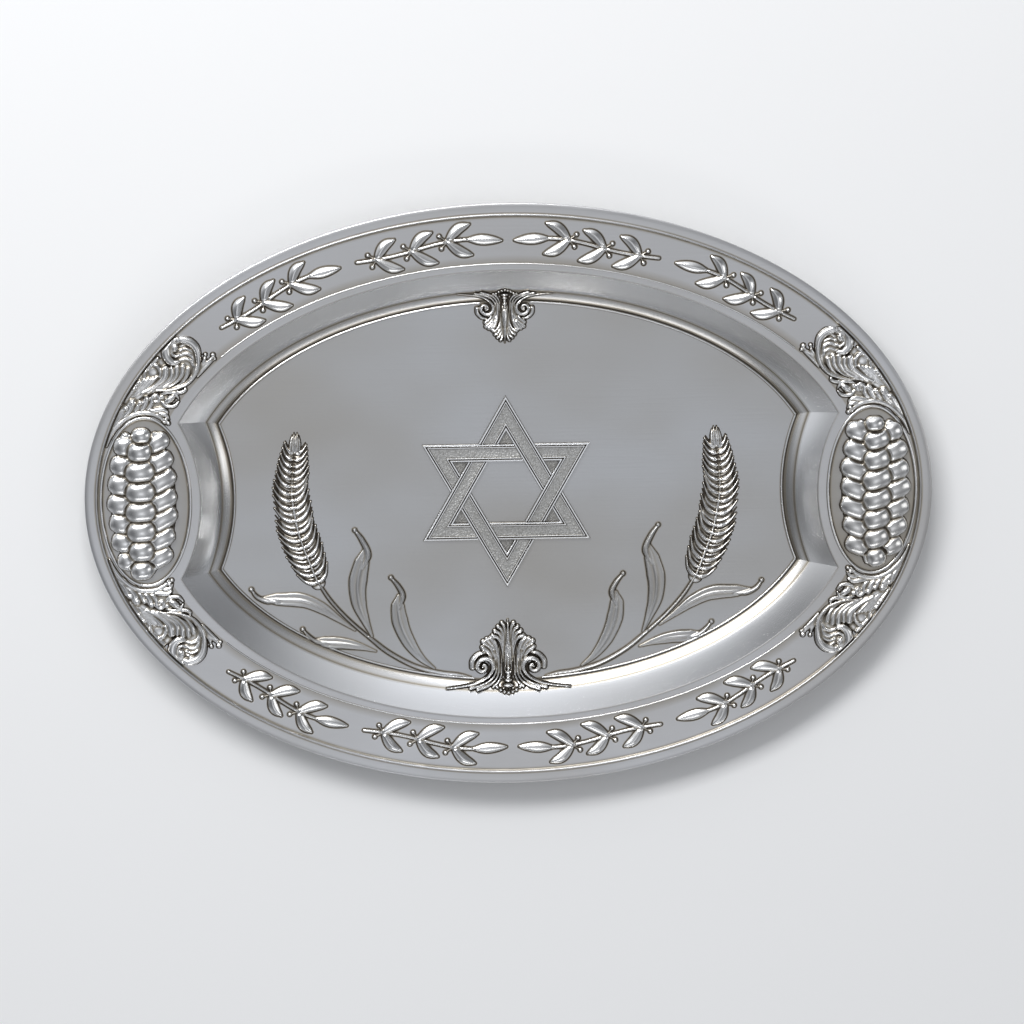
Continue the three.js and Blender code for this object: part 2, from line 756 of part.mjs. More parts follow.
// Corner scroll, drawn as degrees round the rim past the medallion's tip and inset from the edge
const scrollBand = [[-3.4, 9.6], [1.2, 12.2], [3.4, 16], [5.1, 21], [6.8, 26.6], [9, 30.6], [11.4, 31.2],
  [13.4, 29.4], [15.1, 25.3], [16.1, 19.7], [16.1, 14.6], [15.2, 11.4], [13.6, 10.6], [12.3, 12.4],
  [11.7, 15.6], [12.2, 18.6]];
const scrollLobeShare = 0.9;
const scrollCollarShare = 0.7;
const scrollLobes = [
  { path: [[14.6, 13], [13.4, 14.6], [13, 17.6], [13.6, 20.6]], width: 3 },
  { path: [[15.4, 17.6], [14, 19], [13.2, 21.6], [12.8, 25]], width: 3 },
  { path: [[8.4, 29.6], [10.4, 27.4], [12.2, 25.6]], width: 3.4 },
  { path: [[6.6, 26], [8.6, 25.8], [11.4, 22.6]], width: 3.6 },
  { path: [[5.8, 22.4], [7.8, 21.8], [9.8, 20.4], [10.6, 16.8]], width: 4 },
  { path: [[4.6, 18.6], [6.6, 18.6], [8.4, 17.4], [9.4, 12.4]], width: 4.4 },
  { path: [[3.4, 14.6], [5.6, 14.2], [7.4, 12.8], [8.6, 10]], width: 4 },
  { path: [[0.4, 11.6], [-0.4, 10.2], [1.6, 9]], width: 2.4 },
  { path: [[-1.6, 14], [0.2, 15.8], [2.1, 15.4]], width: 3 },
  { path: [[-0.4, 18], [1.4, 19.8], [3.4, 18.8]], width: 3.4 },
  { path: [[0.2, 24.6], [2.2, 26.8], [2.6, 30]], width: 3 },
  { path: [[5.4, 22.6], [4.8, 27], [5.6, 31]], width: 4.6 },
  { path: [[11, 31.6], [13.9, 31.2], [15.9, 31], [17.1, 31.4]], width: 2.4 },
  { path: [[11.4, 30.6], [14.6, 28.6], [16.5, 26.6]], width: 2.4 },
];

function scrollStart() {
  return THREE.MathUtils.radToDeg(Math.asin(medallionLength / 2 / (halfWidth - scrollTipInset)));
}

function makeScroll(nameX, nameY, sideX, sideY, clearances) {
  const start = scrollStart();
  const place = ([degrees, inset]) => {
    const [x, y] = rimPoint(start + degrees, inset);
    return [sideX * x, sideY * y];
  };
  const narrow = (t) => (t < 0.15 ? 0.3 + 4.6 * t : 1 - 0.3 * (t - 0.15));
  const pieces = [relief(scrollBand.map(place), {
    width: scrollBandWidth, height: scrollRelief, seat: rimTop, steps: 13, back: ridgeBack, taper: narrow,
  })];
  scrollLobes.forEach((lobe) => {
    pieces.push(relief(lobe.path.map(place), {
      width: lobe.width, height: scrollRelief * scrollLobeShare, seat: rimTop, steps: 2, back: ridgeBack,
    }));
  });
  const centre = medallionX(sideX);
  const collar = [];
  const collarSteps = 6;
  for (let i = 0; i <= collarSteps; i += 1) {
    const degrees = scrollCollarFrom + ((scrollCollarTo - scrollCollarFrom) * i) / collarSteps;
    const angle = THREE.MathUtils.degToRad(degrees);
    const reach = medallionFrameWidth + seatGap;
    collar.push([centre - sideX * (medallionWidth / 2 + reach) * Math.cos(angle),
      sideY * (medallionLength / 2 + reach) * Math.sin(angle)]);
  }
  pieces.push(relief(collar, {
    width: scrollCollarWidth,
    height: scrollRelief * scrollCollarShare,
    seat: rimTop,
    steps: collarSteps,
    back: ridgeBack,
    taper: evenTaper,
  }));
  const solid = clearances.reduce((whole, cut) => whole.subtract(cut), join(pieces));
  return makeMesh(`corner_scroll_${nameY}_${nameX}`, toGeometry(largest(solid)), 'polished');
}

// Leafy sprig on the rim: a waved stem with paired leaves and one at its end, placed by shares of its span
const sprigStemPlaces = [0, 0.23, 0.46, 0.69, 0.92];
const sprigPairPlaces = [0.14, 0.4, 0.66];
const sprigTipPlaces = [0.82, 0.92, 1.04];
const sprigLeafPath = [[0, 0], [0.5, 0.57], [1, 0.79]];
const sprigStemShare = 0.8;

function makeSprig(name, middleAngle, span, sideY, direction) {
  const middleInset = (borderInner + rimLineInset) / 2;
  const place = (degrees, inset) => {
    const [x, y] = rimPoint(degrees, inset);
    return [x, sideY * y];
  };
  const angleAt = (t) => middleAngle + direction * span * (t - 0.5);
  const insetAt = (t) => middleInset + sprigWave * Math.sin(2 * Math.PI * t);
  const stem = sprigStemPlaces.map((t) => place(angleAt(t), insetAt(t)));
  const pieces = [relief(stem, {
    width: sprigStemWidth,
    height: sprigRelief * sprigStemShare,
    seat: rimTop,
    steps: 4,
    back: ridgeBack,
    taper: evenTaper,
  })];
  const leaf = { width: sprigLeafWidth, height: sprigRelief, seat: rimTop, back: ridgeBack };
  const leafAngle = sprigLeafLength / 3;
  sprigPairPlaces.forEach((t) => {
    [-1, 1].forEach((hand) => {
      const points = sprigLeafPath.map(([along, out]) => place(
        angleAt(t) + direction * leafAngle * along,
        insetAt(t) + hand * sprigLeafLength * out,
      ));
      pieces.push(relief(points, { ...leaf, steps: 2 }));
    });
  });
  const tip = sprigTipPlaces.map((t) => place(angleAt(t), insetAt(Math.min(t, 1))));
  pieces.push(relief(tip, { ...leaf, steps: 3 }));
  return makeMesh(name, toGeometry(join(pieces)), 'polished');
}

function makeSprigs(firstAngle) {
  const sprigs = [];
  const pitch = (180 - 2 * firstAngle - 2 * sprigMarginDegrees) / sprigsPerSide;
  const span = pitch - sprigSpaceDegrees;
  [['top', 1], ['bottom', -1]].forEach(([nameY, sideY]) => {
    for (let i = 0; i < sprigsPerSide; i += 1) {
      const middle = 90 + pitch * (i - (sprigsPerSide - 1) / 2);
      sprigs.push(makeSprig(`rim_sprig_${nameY}_${i + 1}`, middle, span, sideY, middle > 90 ? -1 : 1));
    }
  });
  return sprigs;
}

// The whole plate
function makePlate() {
  const plate = new THREE.Group();
  plate.add(makeBody(), makeBorder());

  const borderCut = borderClearance();
  const wellCut = wellClearance();
  const wires = floorWires();
  const wireCuts = wires.map((wire) => relief(wire.path, wireOptions(wire.steps, seatGap)));
  wires.forEach((wire) => {
    plate.add(makeMesh(wire.name, toGeometry(relief(wire.path, wireOptions(wire.steps))), 'polished'));
  });

  const sizes = [
    {
      name: 'top',
      side: 1,
      width: palmetteTopWidth,
      reach: palmetteTopReach,
      height: palmetteTopRelief,
    },
    {
      name: 'bottom',
      side: -1,
      width: palmetteBottomWidth,
      reach: palmetteBottomReach,
      height: palmetteBottomRelief,
    },
  ];
  sizes.forEach((size) => {
    const solid = palmette(size, wellCut, wireCuts);
    plate.add(makeMesh(`palmette_${size.name}`, toGeometry(solid), 'polished'));
  });

  [['left', -1], ['right', 1]].forEach(([nameX, sideX]) => {
    plate.add(makeMedallionFrame(`medallion_frame_${nameX}`, sideX));
    plate.add(makeLoaf(`braided_loaf_${nameX}`, sideX));
    const medallionCut = medallionClearance(sideX);
    [['top', 1], ['bottom', -1]].forEach(([nameY, sideY]) => {
      plate.add(makeScroll(nameX, nameY, sideX, sideY, [borderCut, medallionCut]));
    });
    plate.add(...makeWheat(nameX, sideX, join([wellCut, ...wireCuts])));
  });

  const firstAngle = scrollStart() + scrollDegrees;
  plate.add(...makeRimLines(firstAngle), ...makeSprigs(firstAngle), ...makeStar());
  return plate;
}

export default makePlate();
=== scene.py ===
"""Looks of an oval silver bread plate: raised sheet, bright satin border and chased ornament in relief.

Lengths in this script are millimetres until a mesh is made, which turns them into metres.
"""

import logging
import math
from dataclasses import dataclass, field
from enum import Enum
from typing import Callable, Sequence

import bpy
import numpy as np
from mathutils import Matrix, Vector


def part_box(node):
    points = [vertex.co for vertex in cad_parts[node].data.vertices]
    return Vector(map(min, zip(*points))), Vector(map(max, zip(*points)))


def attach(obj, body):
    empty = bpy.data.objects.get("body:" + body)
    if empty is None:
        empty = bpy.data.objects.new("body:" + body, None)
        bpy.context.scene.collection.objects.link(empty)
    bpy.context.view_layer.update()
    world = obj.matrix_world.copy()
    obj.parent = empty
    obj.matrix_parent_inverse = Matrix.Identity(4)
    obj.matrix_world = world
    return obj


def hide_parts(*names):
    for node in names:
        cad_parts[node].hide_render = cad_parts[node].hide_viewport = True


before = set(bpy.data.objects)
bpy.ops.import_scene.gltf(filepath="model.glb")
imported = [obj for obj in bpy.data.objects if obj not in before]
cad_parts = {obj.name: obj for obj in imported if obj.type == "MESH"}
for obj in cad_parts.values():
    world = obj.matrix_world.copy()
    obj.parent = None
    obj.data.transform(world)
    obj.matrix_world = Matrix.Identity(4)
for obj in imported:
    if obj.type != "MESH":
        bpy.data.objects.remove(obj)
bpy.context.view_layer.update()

MM = 0.001
# The star, the wheat and the palmettes are laid out round a line this far along x
ORNAMENT_CENTRE = -1.4
LOG = logging.getLogger("bread_plate")
Point = tuple[float, float]
Triple = tuple[float, float, float]
Path = Sequence[Point]
Strokes = Sequence[tuple[Path, float]]
# The stretch along x, y and z, the scale and the detail of a noise
Noise = tuple[Triple, float, float]
# A lobe's x and y from the loaf's middle, its width, length and tilt
Lobe = tuple[float, float, float, float, float]
Array = np.ndarray
Profile = Callable[[Array, Array], Array]
Taper = Callable[[Array], Array]


class Labelled(Enum):
    """A choice whose name is part of the names of pieces and nodes."""

    @property
    def label(self) -> str:
        """The name in lower case."""
        return self.name.lower()


class Side(Labelled):
    """The two ends of the plate, by the sign of x."""

    LEFT = -1
    RIGHT = 1


class Edge(Labelled):
    """The two long sides of the plate, by the sign of y."""

    TOP = 1
    BOTTOM = -1


def extent(node: str) -> tuple[Array, Array]:
    """Give the low and high corner of a fixed node's box, in millimetres."""
    low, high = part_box(node)
    return np.array(low) / MM, np.array(high) / MM


def middle_of(node: str) -> tuple[Array, Array]:
    """Give the middle and the half sizes of a fixed node's box, in millimetres."""
    low, high = (np.array(corner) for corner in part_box(node))
    return (low + high) / 2 / MM, (high - low) / 2 / MM


@dataclass(frozen=True)
class Levels:
    """Heights and half sizes read from the fixed frame, in millimetres."""

    floor: float = extent("star_triangle_up")[0][2]
    rim: float = extent("plate_body")[1][2]
    half_length: float = extent("rim_border")[1][0]
    half_width: float = extent("rim_border")[1][1]


LEVELS = Levels()


@dataclass(frozen=True)
class Shading:
    """The nodes of a material or a world, with the socket that their patterns read.

    Each method adds a node and gives back its output socket.
    """

    tree: bpy.types.NodeTree
    place: object

    def math(self, kind: str, first: object, second: object) -> object:
        """Add a math node on two sockets or numbers.

        Args:
            kind: The node's operation.
            first: Its first socket or number.
            second: Its second socket or number.

        Returns:
            The socket of the result.
        """
        node = self.tree.nodes.new("ShaderNodeMath")
        node.operation = kind
        for slot, value in zip(node.inputs, (first, second)):
            if isinstance(value, (int, float)):
                slot.default_value = value
            else:
                self.tree.links.new(value, slot)
        return node.outputs[0]

    def noise(self, stretch: Triple, scale: float, detail: float) -> object:
        """Add a noise on the stretched place.

        Args:
            stretch: The factors on x, y and z.
            scale: The noise's scale.
            detail: The noise's detail.

        Returns:
            The socket of its value.
        """
        mapping = self.tree.nodes.new("ShaderNodeMapping")
        mapping.inputs["Scale"].default_value = stretch
        self.tree.links.new(self.place, mapping.inputs["Vector"])
        texture = self.tree.nodes.new("ShaderNodeTexNoise")
        texture.inputs["Scale"].default_value = scale
        texture.inputs["Detail"].default_value = detail
        self.tree.links.new(mapping.outputs["Vector"], texture.inputs["Vector"])
        return texture.outputs["Fac"]

    def cells(self, scale: float) -> object:
        """Add the cells that a matting punch leaves.

        Args:
            scale: How many there are along a metre.

        Returns:
            The socket of the distance from their middles.
        """
        cells = self.tree.nodes.new("ShaderNodeTexVoronoi")
        cells.inputs["Scale"].default_value = scale
        self.tree.links.new(self.place, cells.inputs["Vector"])
        return cells.outputs["Distance"]

    def ramp(self, factor: object, low: float, high: float) -> object:
        """Map a factor between 0 and 1 onto a range.

        Args:
            factor: The socket of the factor.
            low: The result at 0.
            high: The result at 1.

        Returns:
            The socket of the result.
        """
        node = self.tree.nodes.new("ShaderNodeMapRange")
        node.inputs["To Min"].default_value = low
        node.inputs["To Max"].default_value = high
        self.tree.links.new(factor, node.inputs["Value"])
        return node.outputs["Result"]

    def bump(self, height: object, depth: float, under: object | None = None) -> object:
        """Add a bump.

        Args:
            height: The socket of its height.
            depth: Its depth at a height of 1, in metres.
            under: The socket of the normal that it lies on, or None for the mesh's own.

        Returns:
            The socket of the normal.
        """
        node = self.tree.nodes.new("ShaderNodeBump")
        node.inputs["Distance"].default_value = depth
        self.tree.links.new(height, node.inputs["Height"])
        if under is not None:
            self.tree.links.new(under, node.inputs["Normal"])
        return node.outputs["Normal"]


@dataclass(frozen=True)
class Finish:
    """A material and the record's slot that it belongs to."""

    material: bpy.types.Material
    slot: str


@dataclass(frozen=True)
class SilverFinish:
    """Silver with rub marks, darkened by a mesh attribute that holds oxide and painted shade.

    That attribute is 0 on bare metal and 1 in the deepest recess. It stands for the oxide in the hollows
    together with painted shade in the recesses and a painted shadow line along the foot of each relief. Stain
    makes the cloud a factor on it, by a share and a least. Mist is a thin film of oxide anywhere, and stipple
    darkens the punch marks.
    """

    name: str
    slot: str
    silver: Triple
    roughness: float
    scratch_depth: float
    # The dark brown and the warm tint of oxide, also used for the painted shade, and where they stand on the
    # ramp
    tarnish: Triple = (0.085, 0.073, 0.060)
    blush: Triple = (0.43, 0.395, 0.335)
    blush_place: float = 0.28
    tarnish_place: float = 0.72
    tarnish_roughness: float = 0.55
    scratch_noise: Noise = ((0.035, 1.0, 1.0), 900.0, 3.0)
    grain_depth: float = 0.0
    grain_scale: float = 1000.0
    cloud: float = 0.10
    cloud_noise: Noise = ((9.0, 14.0, 14.0), 4.0, 5.0)
    stain: Point = (0.7, 0.62)
    mist: float = 0.05
    mist_noise: Noise = ((1.0, 1.6, 1.0), 7.0, 2.0)
    mist_start: float = 0.38
    mist_gain: float = 4.0
    stipple: float = 0.0

    def build(self) -> Finish:
        """Make the material.

        Returns:
            The node material with its slot, ready to be given to a piece.
        """
        material = bpy.data.materials.new(self.name)
        material.use_nodes = True
        tree = material.node_tree
        shader = tree.nodes["Principled BSDF"]
        shader.inputs["Metallic"].default_value = 1.0
        shading = Shading(tree, tree.nodes.new("ShaderNodeTexCoord").outputs["Object"])
        cloud = shading.noise(*self.cloud_noise)
        depth = self._depth(shading, cloud)
        tree.links.new(self._colour(tree, depth), shader.inputs["Base Color"])
        rough = shading.ramp(depth, self.roughness, self.tarnish_roughness)
        vary = shading.math("MULTIPLY", cloud, self.cloud)
        tree.links.new(shading.math("ADD", rough, vary), shader.inputs["Roughness"])
        normal = shading.bump(shading.noise(*self.scratch_noise), self.scratch_depth)
        if self.grain_depth:
            normal = shading.bump(shading.cells(self.grain_scale), self.grain_depth, normal)
        tree.links.new(normal, shader.inputs["Normal"])
        return Finish(material, self.slot)

    def _depth(self, shading: Shading, cloud: object) -> object:
        """Add up the darkening: oxide and painted shade from the mesh, clouded, with a thin mist and any
        punch marks.

        Args:
            shading: The material's nodes.
            cloud: The socket of the cloud noise.

        Returns:
            The socket of the depth.
        """
        patina = shading.tree.nodes.new("ShaderNodeAttribute")
        patina.attribute_name = "patina"
        share, least = self.stain
        stain = shading.math("ADD", shading.math("MULTIPLY", cloud, share), least)
        depth = shading.math("MULTIPLY", patina.outputs["Fac"], stain)
        drift = shading.math("SUBTRACT", shading.noise(*self.mist_noise), self.mist_start)
        drift = shading.math("MULTIPLY", drift, self.mist_gain * self.mist)
        depth = shading.math("ADD", depth, shading.math("MAXIMUM", drift, 0.0))
        if self.stipple:
            punched = shading.math("MULTIPLY", shading.cells(self.grain_scale), self.stipple)
            depth = shading.math("ADD", depth, punched)
        return depth

    def _colour(self, tree: bpy.types.NodeTree, depth: object) -> object:
        """Blend bare silver through a warm tint to dark brown by the darkening of oxide and painted shade.

        Args:
            tree: The material's node tree.
            depth: The socket of the darkening by oxide and painted shade.

        Returns:
            The socket of the colour.
        """
        ramp = tree.nodes.new("ShaderNodeValToRGB")
        stops = ramp.color_ramp.elements
        stops[0].color = (*self.silver, 1.0)
        stops[1].color = (*self.tarnish, 1.0)
        stops[1].position = self.tarnish_place
        stops.new(self.blush_place).color = (*self.blush, 1.0)
        tree.links.new(depth, ramp.inputs["Fac"])
        return ramp.outputs["Color"]


class Finishes:
    """Each finish, made once and shared by the pieces."""

    def __init__(self) -> None:
        """Make the finishes."""
        self.satin = SilverFinish("satin_silver", "satin_silver", (0.62, 0.63, 0.645), roughness=0.30,
                                  scratch_depth=0.00007, mist=0.11).build()
        self.bright = SilverFinish("bright_satin_silver", "polished_silver", (0.68, 0.685, 0.70),
                                   roughness=0.26, scratch_depth=0.00004, mist=0.06).build()
        self.polished = SilverFinish("polished_silver", "polished_silver", (0.94, 0.95, 0.965),
                                     roughness=0.14, scratch_depth=0.000012, cloud=0.08).build()
        self.chased = SilverFinish("chased_silver", "chased_silver", (0.93, 0.935, 0.94), roughness=0.17,
                                   scratch_depth=0.000008, cloud=0.08).build()
        self.matted = SilverFinish("matted_silver", "matted_silver", (0.72, 0.725, 0.725),
                                   blush=(0.47, 0.465, 0.445), roughness=0.36, scratch_depth=0.00001,
                                   grain_depth=0.0002, stipple=0.24).build()


def smooth_path(points: Path, count: int = 28) -> Array:
    """Sample a Catmull-Rom curve through the points.

    Args:
        points: The points the curve passes through, in millimetres.
        count: The number of samples.

    Returns:
        An array of count rows of x and y.
    """
    known = np.asarray(points, float)
    if len(known) == 2:
        share = np.linspace(0, 1, count)[:, None]
        return known[0] * (1 - share) + known[1] * share
    padded = np.vstack([2 * known[0] - known[1], known, 2 * known[-1] - known[-2]])
    steps = np.linspace(0, len(known) - 1 - 1e-9, count)
    start = steps.astype(int)
    t = (steps - start)[:, None]
    a, b, c, d = (padded[start + k] for k in range(4))
    square = (2 * a - 5 * b + 4 * c - d) * t ** 2
    return 0.5 * (2 * b + (c - a) * t + square + (3 * b - a - 3 * c + d) * t ** 3)


def blur(values: Array, cells: float) -> Array:
    """Blur an array by three box filters.

    Args:
        values: The array.
        cells: The blur's reach in cells.

    Returns:
        The blurred array, of the same shape.
    """
    reach = max(int(round(cells)), 1)
    result = values
    for _ in range(3):
        for axis in (0, 1):
            padded = np.pad(result, [(reach, reach) if k == axis else (0, 0) for k in (0, 1)], mode="edge")
            total = np.cumsum(padded, axis=axis)
            zero = np.zeros_like(np.take(total, [0], axis=axis))
            total = np.concatenate([zero, total], axis=axis)
            size = 2 * reach + 1
            count = values.shape[axis]
            high = np.take(total, np.arange(size, size + count), axis=axis)
            low = np.take(total, np.arange(count), axis=axis)
            result = (high - low) / size
    return result


def link_mesh(name: str, points: Array, faces: Array, patina: Array) -> bpy.types.Object:
    """Make a smooth-shaded mesh object at the origin from points in millimetres.

    Args:
        name: The object's name.
        points: Rows of x, y and z.
        faces: Rows of vertex numbers, three or four to a row.
        patina: The darkening of each point, oxide and painted shade together.

    Returns:
        The new object.
    """
    mesh = bpy.data.meshes.new(name)
    mesh.from_pydata((points * MM).tolist(), [], faces.tolist())
    mesh.attributes.new("patina", "FLOAT", "POINT")
    mesh.attributes["patina"].data.foreach_set("value", patina.astype(np.float32))
    mesh.polygons.foreach_set("use_smooth", np.ones(len(mesh.polygons), bool))
    mesh.update()
    piece = bpy.data.objects.new(name, mesh)
    bpy.context.scene.collection.objects.link(piece)
    return piece


def only(piece: bpy.types.Object) -> None:
    """Deselect everything, then select the piece and make it active.

    Args:
        piece: The object to select.
    """
    for other in bpy.context.selected_objects:
        other.select_set(False)
    piece.select_set(True)
    bpy.context.view_layer.objects.active = piece


def dress(piece: bpy.types.Object, finish: Finish, *nodes: str, crease: float = 50.0) -> None:
    """Finish a piece: outward faces, creases, finish, ride and the nodes it stands for.

    Args:
        piece: The object to finish.
        finish: Its main finish, given to a piece whose faces have none yet.
        nodes: The fixed nodes that the piece replaces.
        crease: The angle in degrees above which an edge stays sharp.
    """
    only(piece)
    bpy.ops.object.mode_set(mode="EDIT")
    bpy.ops.mesh.select_all(action="SELECT")
    bpy.ops.mesh.normals_make_consistent(inside=False)
    bpy.ops.object.mode_set(mode="OBJECT")
    bpy.ops.object.shade_smooth_by_angle(angle=math.radians(crease))
    if not piece.data.materials:
        piece.data.materials.append(finish.material)
    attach(piece, "root")
    if nodes:
        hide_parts(*nodes)
    LOG.info("%s: %d faces", piece.name, len(piece.data.polygons))


def part_finishes(piece: bpy.types.Object, finishes: Sequence[Finish], parts: Array) -> None:
    """Give a piece several finishes, and each of its faces one of them by number.

    Args:
        piece: The object, with no finish yet.
        finishes: Its finishes, counted from 0.
        parts: The number of the finish of each face.
    """
    for finish in finishes:
        piece.data.materials.append(finish.material)
    piece.data.polygons.foreach_set("material_index", parts.astype(np.int32))


def at_height(points: Array, z: float) -> Array:
    """Give plan points a height."""
    return np.column_stack([points, np.full(len(points), z)])


def between(count: int, here: int, after: int, joined: bool = True) -> Array:
    """List the faces between two rows of matched points.

    Args:
        count: The number of points in a row.
        here: The number of the first row's first point.
        after: The number of the second row's first point.
        joined: Whether the last point of a row joins its first.

    Returns:
        Rows of four vertex numbers.
    """
    i = np.arange(count if joined else count - 1)
    j = (i + 1) % count
    return np.stack([i + here, j + here, j + after, i + after], -1)


def skin(name: str, rings: Sequence[Array], tones: Sequence[float], finishes: Sequence[Finish],
         parts: Sequence[int]) -> bpy.types.Object:
    """Skin closed rings from the first to the last and close both ends.

    Args:
        name: The new object's name.
        rings: Rows of matched points.
        tones: The darkening of each ring, oxide and painted shade.
        finishes: The finishes of the piece.
        parts: The number of the finish that starts at each ring. The last is also that of the ends.

    Returns:
        The new object.
    """
    count = len(rings[0])
    faces = np.vstack([between(count, ring * count, (ring + 1) * count) for ring in range(len(rings) - 1)])
    piece = link_mesh(name, np.vstack(rings), faces, np.repeat(np.array(tones), count))
    close_ends(piece)
    chosen = np.full(len(piece.data.polygons), parts[-1])
    chosen[:len(faces)] = np.repeat(np.array(parts[:-1]), count)
    part_finishes(piece, finishes, chosen)
    return piece


def hoop(name: str, rings: Sequence[Array], tones: Sequence[float],
         joined: bool = True) -> bpy.types.Object:
    """Skin rows of matched points into a hoop, or a bar with two flat ends, with a closed section.

    Args:
        name: The new object's name.
        rings: One row of points for each point of the section.
        tones: The darkening of each row, oxide and painted shade.
        joined: Whether the last point of a row joins its first.

    Returns:
        The new object.
    """
    count = len(rings[0])
    total = len(rings)
    faces = np.vstack([between(count, r * count, (r + 1) % total * count, joined) for r in range(total)])
    piece = link_mesh(name, np.vstack(rings), faces, np.repeat(np.array(tones), count))
    if not joined:
        close_ends(piece)
    return piece


def close_ends(piece: bpy.types.Object) -> None:
    """Fill each open end of a piece with one face.

    Args:
        piece: An object whose only open edges are its ends.
    """
    only(piece)
    bpy.ops.object.mode_set(mode="EDIT")
    bpy.ops.mesh.select_mode(type="EDGE")
    bpy.ops.mesh.select_all(action="DESELECT")
    bpy.ops.mesh.select_non_manifold(extend=False, use_wire=False, use_boundary=True,
                                     use_multi_face=False, use_non_contiguous=False, use_verts=False)
    bpy.ops.mesh.fill_holes(sides=0)
    bpy.ops.object.mode_set(mode="OBJECT")


def rounded(u: Array, v: Array) -> Array:
    """Half-round back."""
    return np.sqrt(np.clip(1 - u ** 2, 0, 1))


def cushion(u: Array, v: Array) -> Array:
    """A flat top with round shoulders."""
    return np.clip(1 - u ** 6, 0, 1) ** 0.5


def keeled(u: Array, v: Array) -> Array:
    """Two gentle slopes to a sharp middle rib."""
    return np.sqrt(np.clip(1 - u ** 2, 0, 1)) * 0.55 + 0.45 * (1 - np.abs(u)) ** 1.4


def veined(u: Array, v: Array) -> Array:
    """Raised rims, a middle rib and fine veins beside it.

    Args:
        u: The distance from the spine, as a share of the half width.
        v: The same, signed by its side.

    Returns:
        The height as a share of the lobe's.
    """
    rim = np.exp(-((np.abs(u) - 0.86) / 0.13) ** 2)
    rib = np.exp(-(u / 0.10) ** 2)
    veins = 0.10 * np.cos(9.5 * v) * np.clip(1 - np.abs(u) * 1.2, 0, 1)
    slope = 0.42 + 0.22 * np.clip(v, -1, 1)
    return np.sqrt(np.clip(1 - u ** 4, 0, 1)) * np.clip(slope + 0.45 * rim + 0.35 * rib + veins, 0.05, 1.2)


def leaf_taper(s: Array) -> Array:
    """Widest before the middle and pointed at both ends."""
    return 0.10 + 0.90 * np.sin(np.pi * (0.10 + 0.87 * s)) ** 0.8


def thorn_taper(s: Array) -> Array:
    """Wide at the start and pointed at the end."""
    return 1 - 0.85 * s ** 1.2


def even_taper(s: Array) -> Array:
    """One width all along, with round ends."""
    return np.ones_like(s)


def club_taper(s: Array) -> Array:
    """Narrow root that swells to a rounded tip."""
    return 0.34 + 0.66 * np.clip(s / 0.8, 0, 1) ** 1.3


def through(*points: Point) -> Taper:
    """Make a taper that runs straight between points, each a place on the path and a width."""
    places, widths = zip(*points)
    return lambda s: np.interp(s, places, widths)


# Tapers of the scrolls: a root that opens into a scoop, a moon, a nearly even curl and a swelling band
scoop_taper = through((0, 0.26), (0.4, 0.5), (0.8, 1.0), (1.0, 0.9))
crescent_taper = through((0, 0.3), (0.25, 0.8), (0.5, 1.0), (0.8, 0.85), (1.0, 0.45))
curl_taper = through((0, 0.4), (0.2, 1.0), (0.75, 0.95), (1.0, 0.5))
band_taper = through((0, 0.16), (0.2, 0.32), (0.5, 0.5), (0.7, 0.95), (0.9, 1.0), (1.0, 0.6))
# The palmette's arm, a long thin tail that fills out towards the volute
arm_taper = through((0, 0.3), (0.25, 0.7), (0.45, 1.1), (0.8, 0.9), (1.0, 0.6))
# Tapers of the wheat: its stem, the ear, one grain, a leaf's blade and the turned tip of the leaf
stem_taper = through((0, 0.8), (0.1, 1.0), (0.75, 1.0), (1.0, 0.3))
ear_taper = through((0, 0.5), (0.12, 1.0), (0.5, 1.0), (0.8, 0.75), (1.0, 0.3))
grain_taper = through((0, 0.35), (0.12, 0.8), (0.35, 1.0), (0.7, 0.55), (1.0, 0.3))
blade_taper = through((0, 0.14), (0.15, 0.36), (0.4, 0.80), (0.65, 1.0), (0.85, 0.8), (1.0, 0.3))
tip_taper = through((0, 0.3), (0.3, 1.0), (0.7, 0.8), (1.0, 0.45))
# How far the grains reach out, in millimetres, along the ear
grain_reach = through((0, 9.0), (0.12, 10.8), (0.35, 10.4), (0.6, 9.0), (0.85, 6.6), (1.0, 3.6))


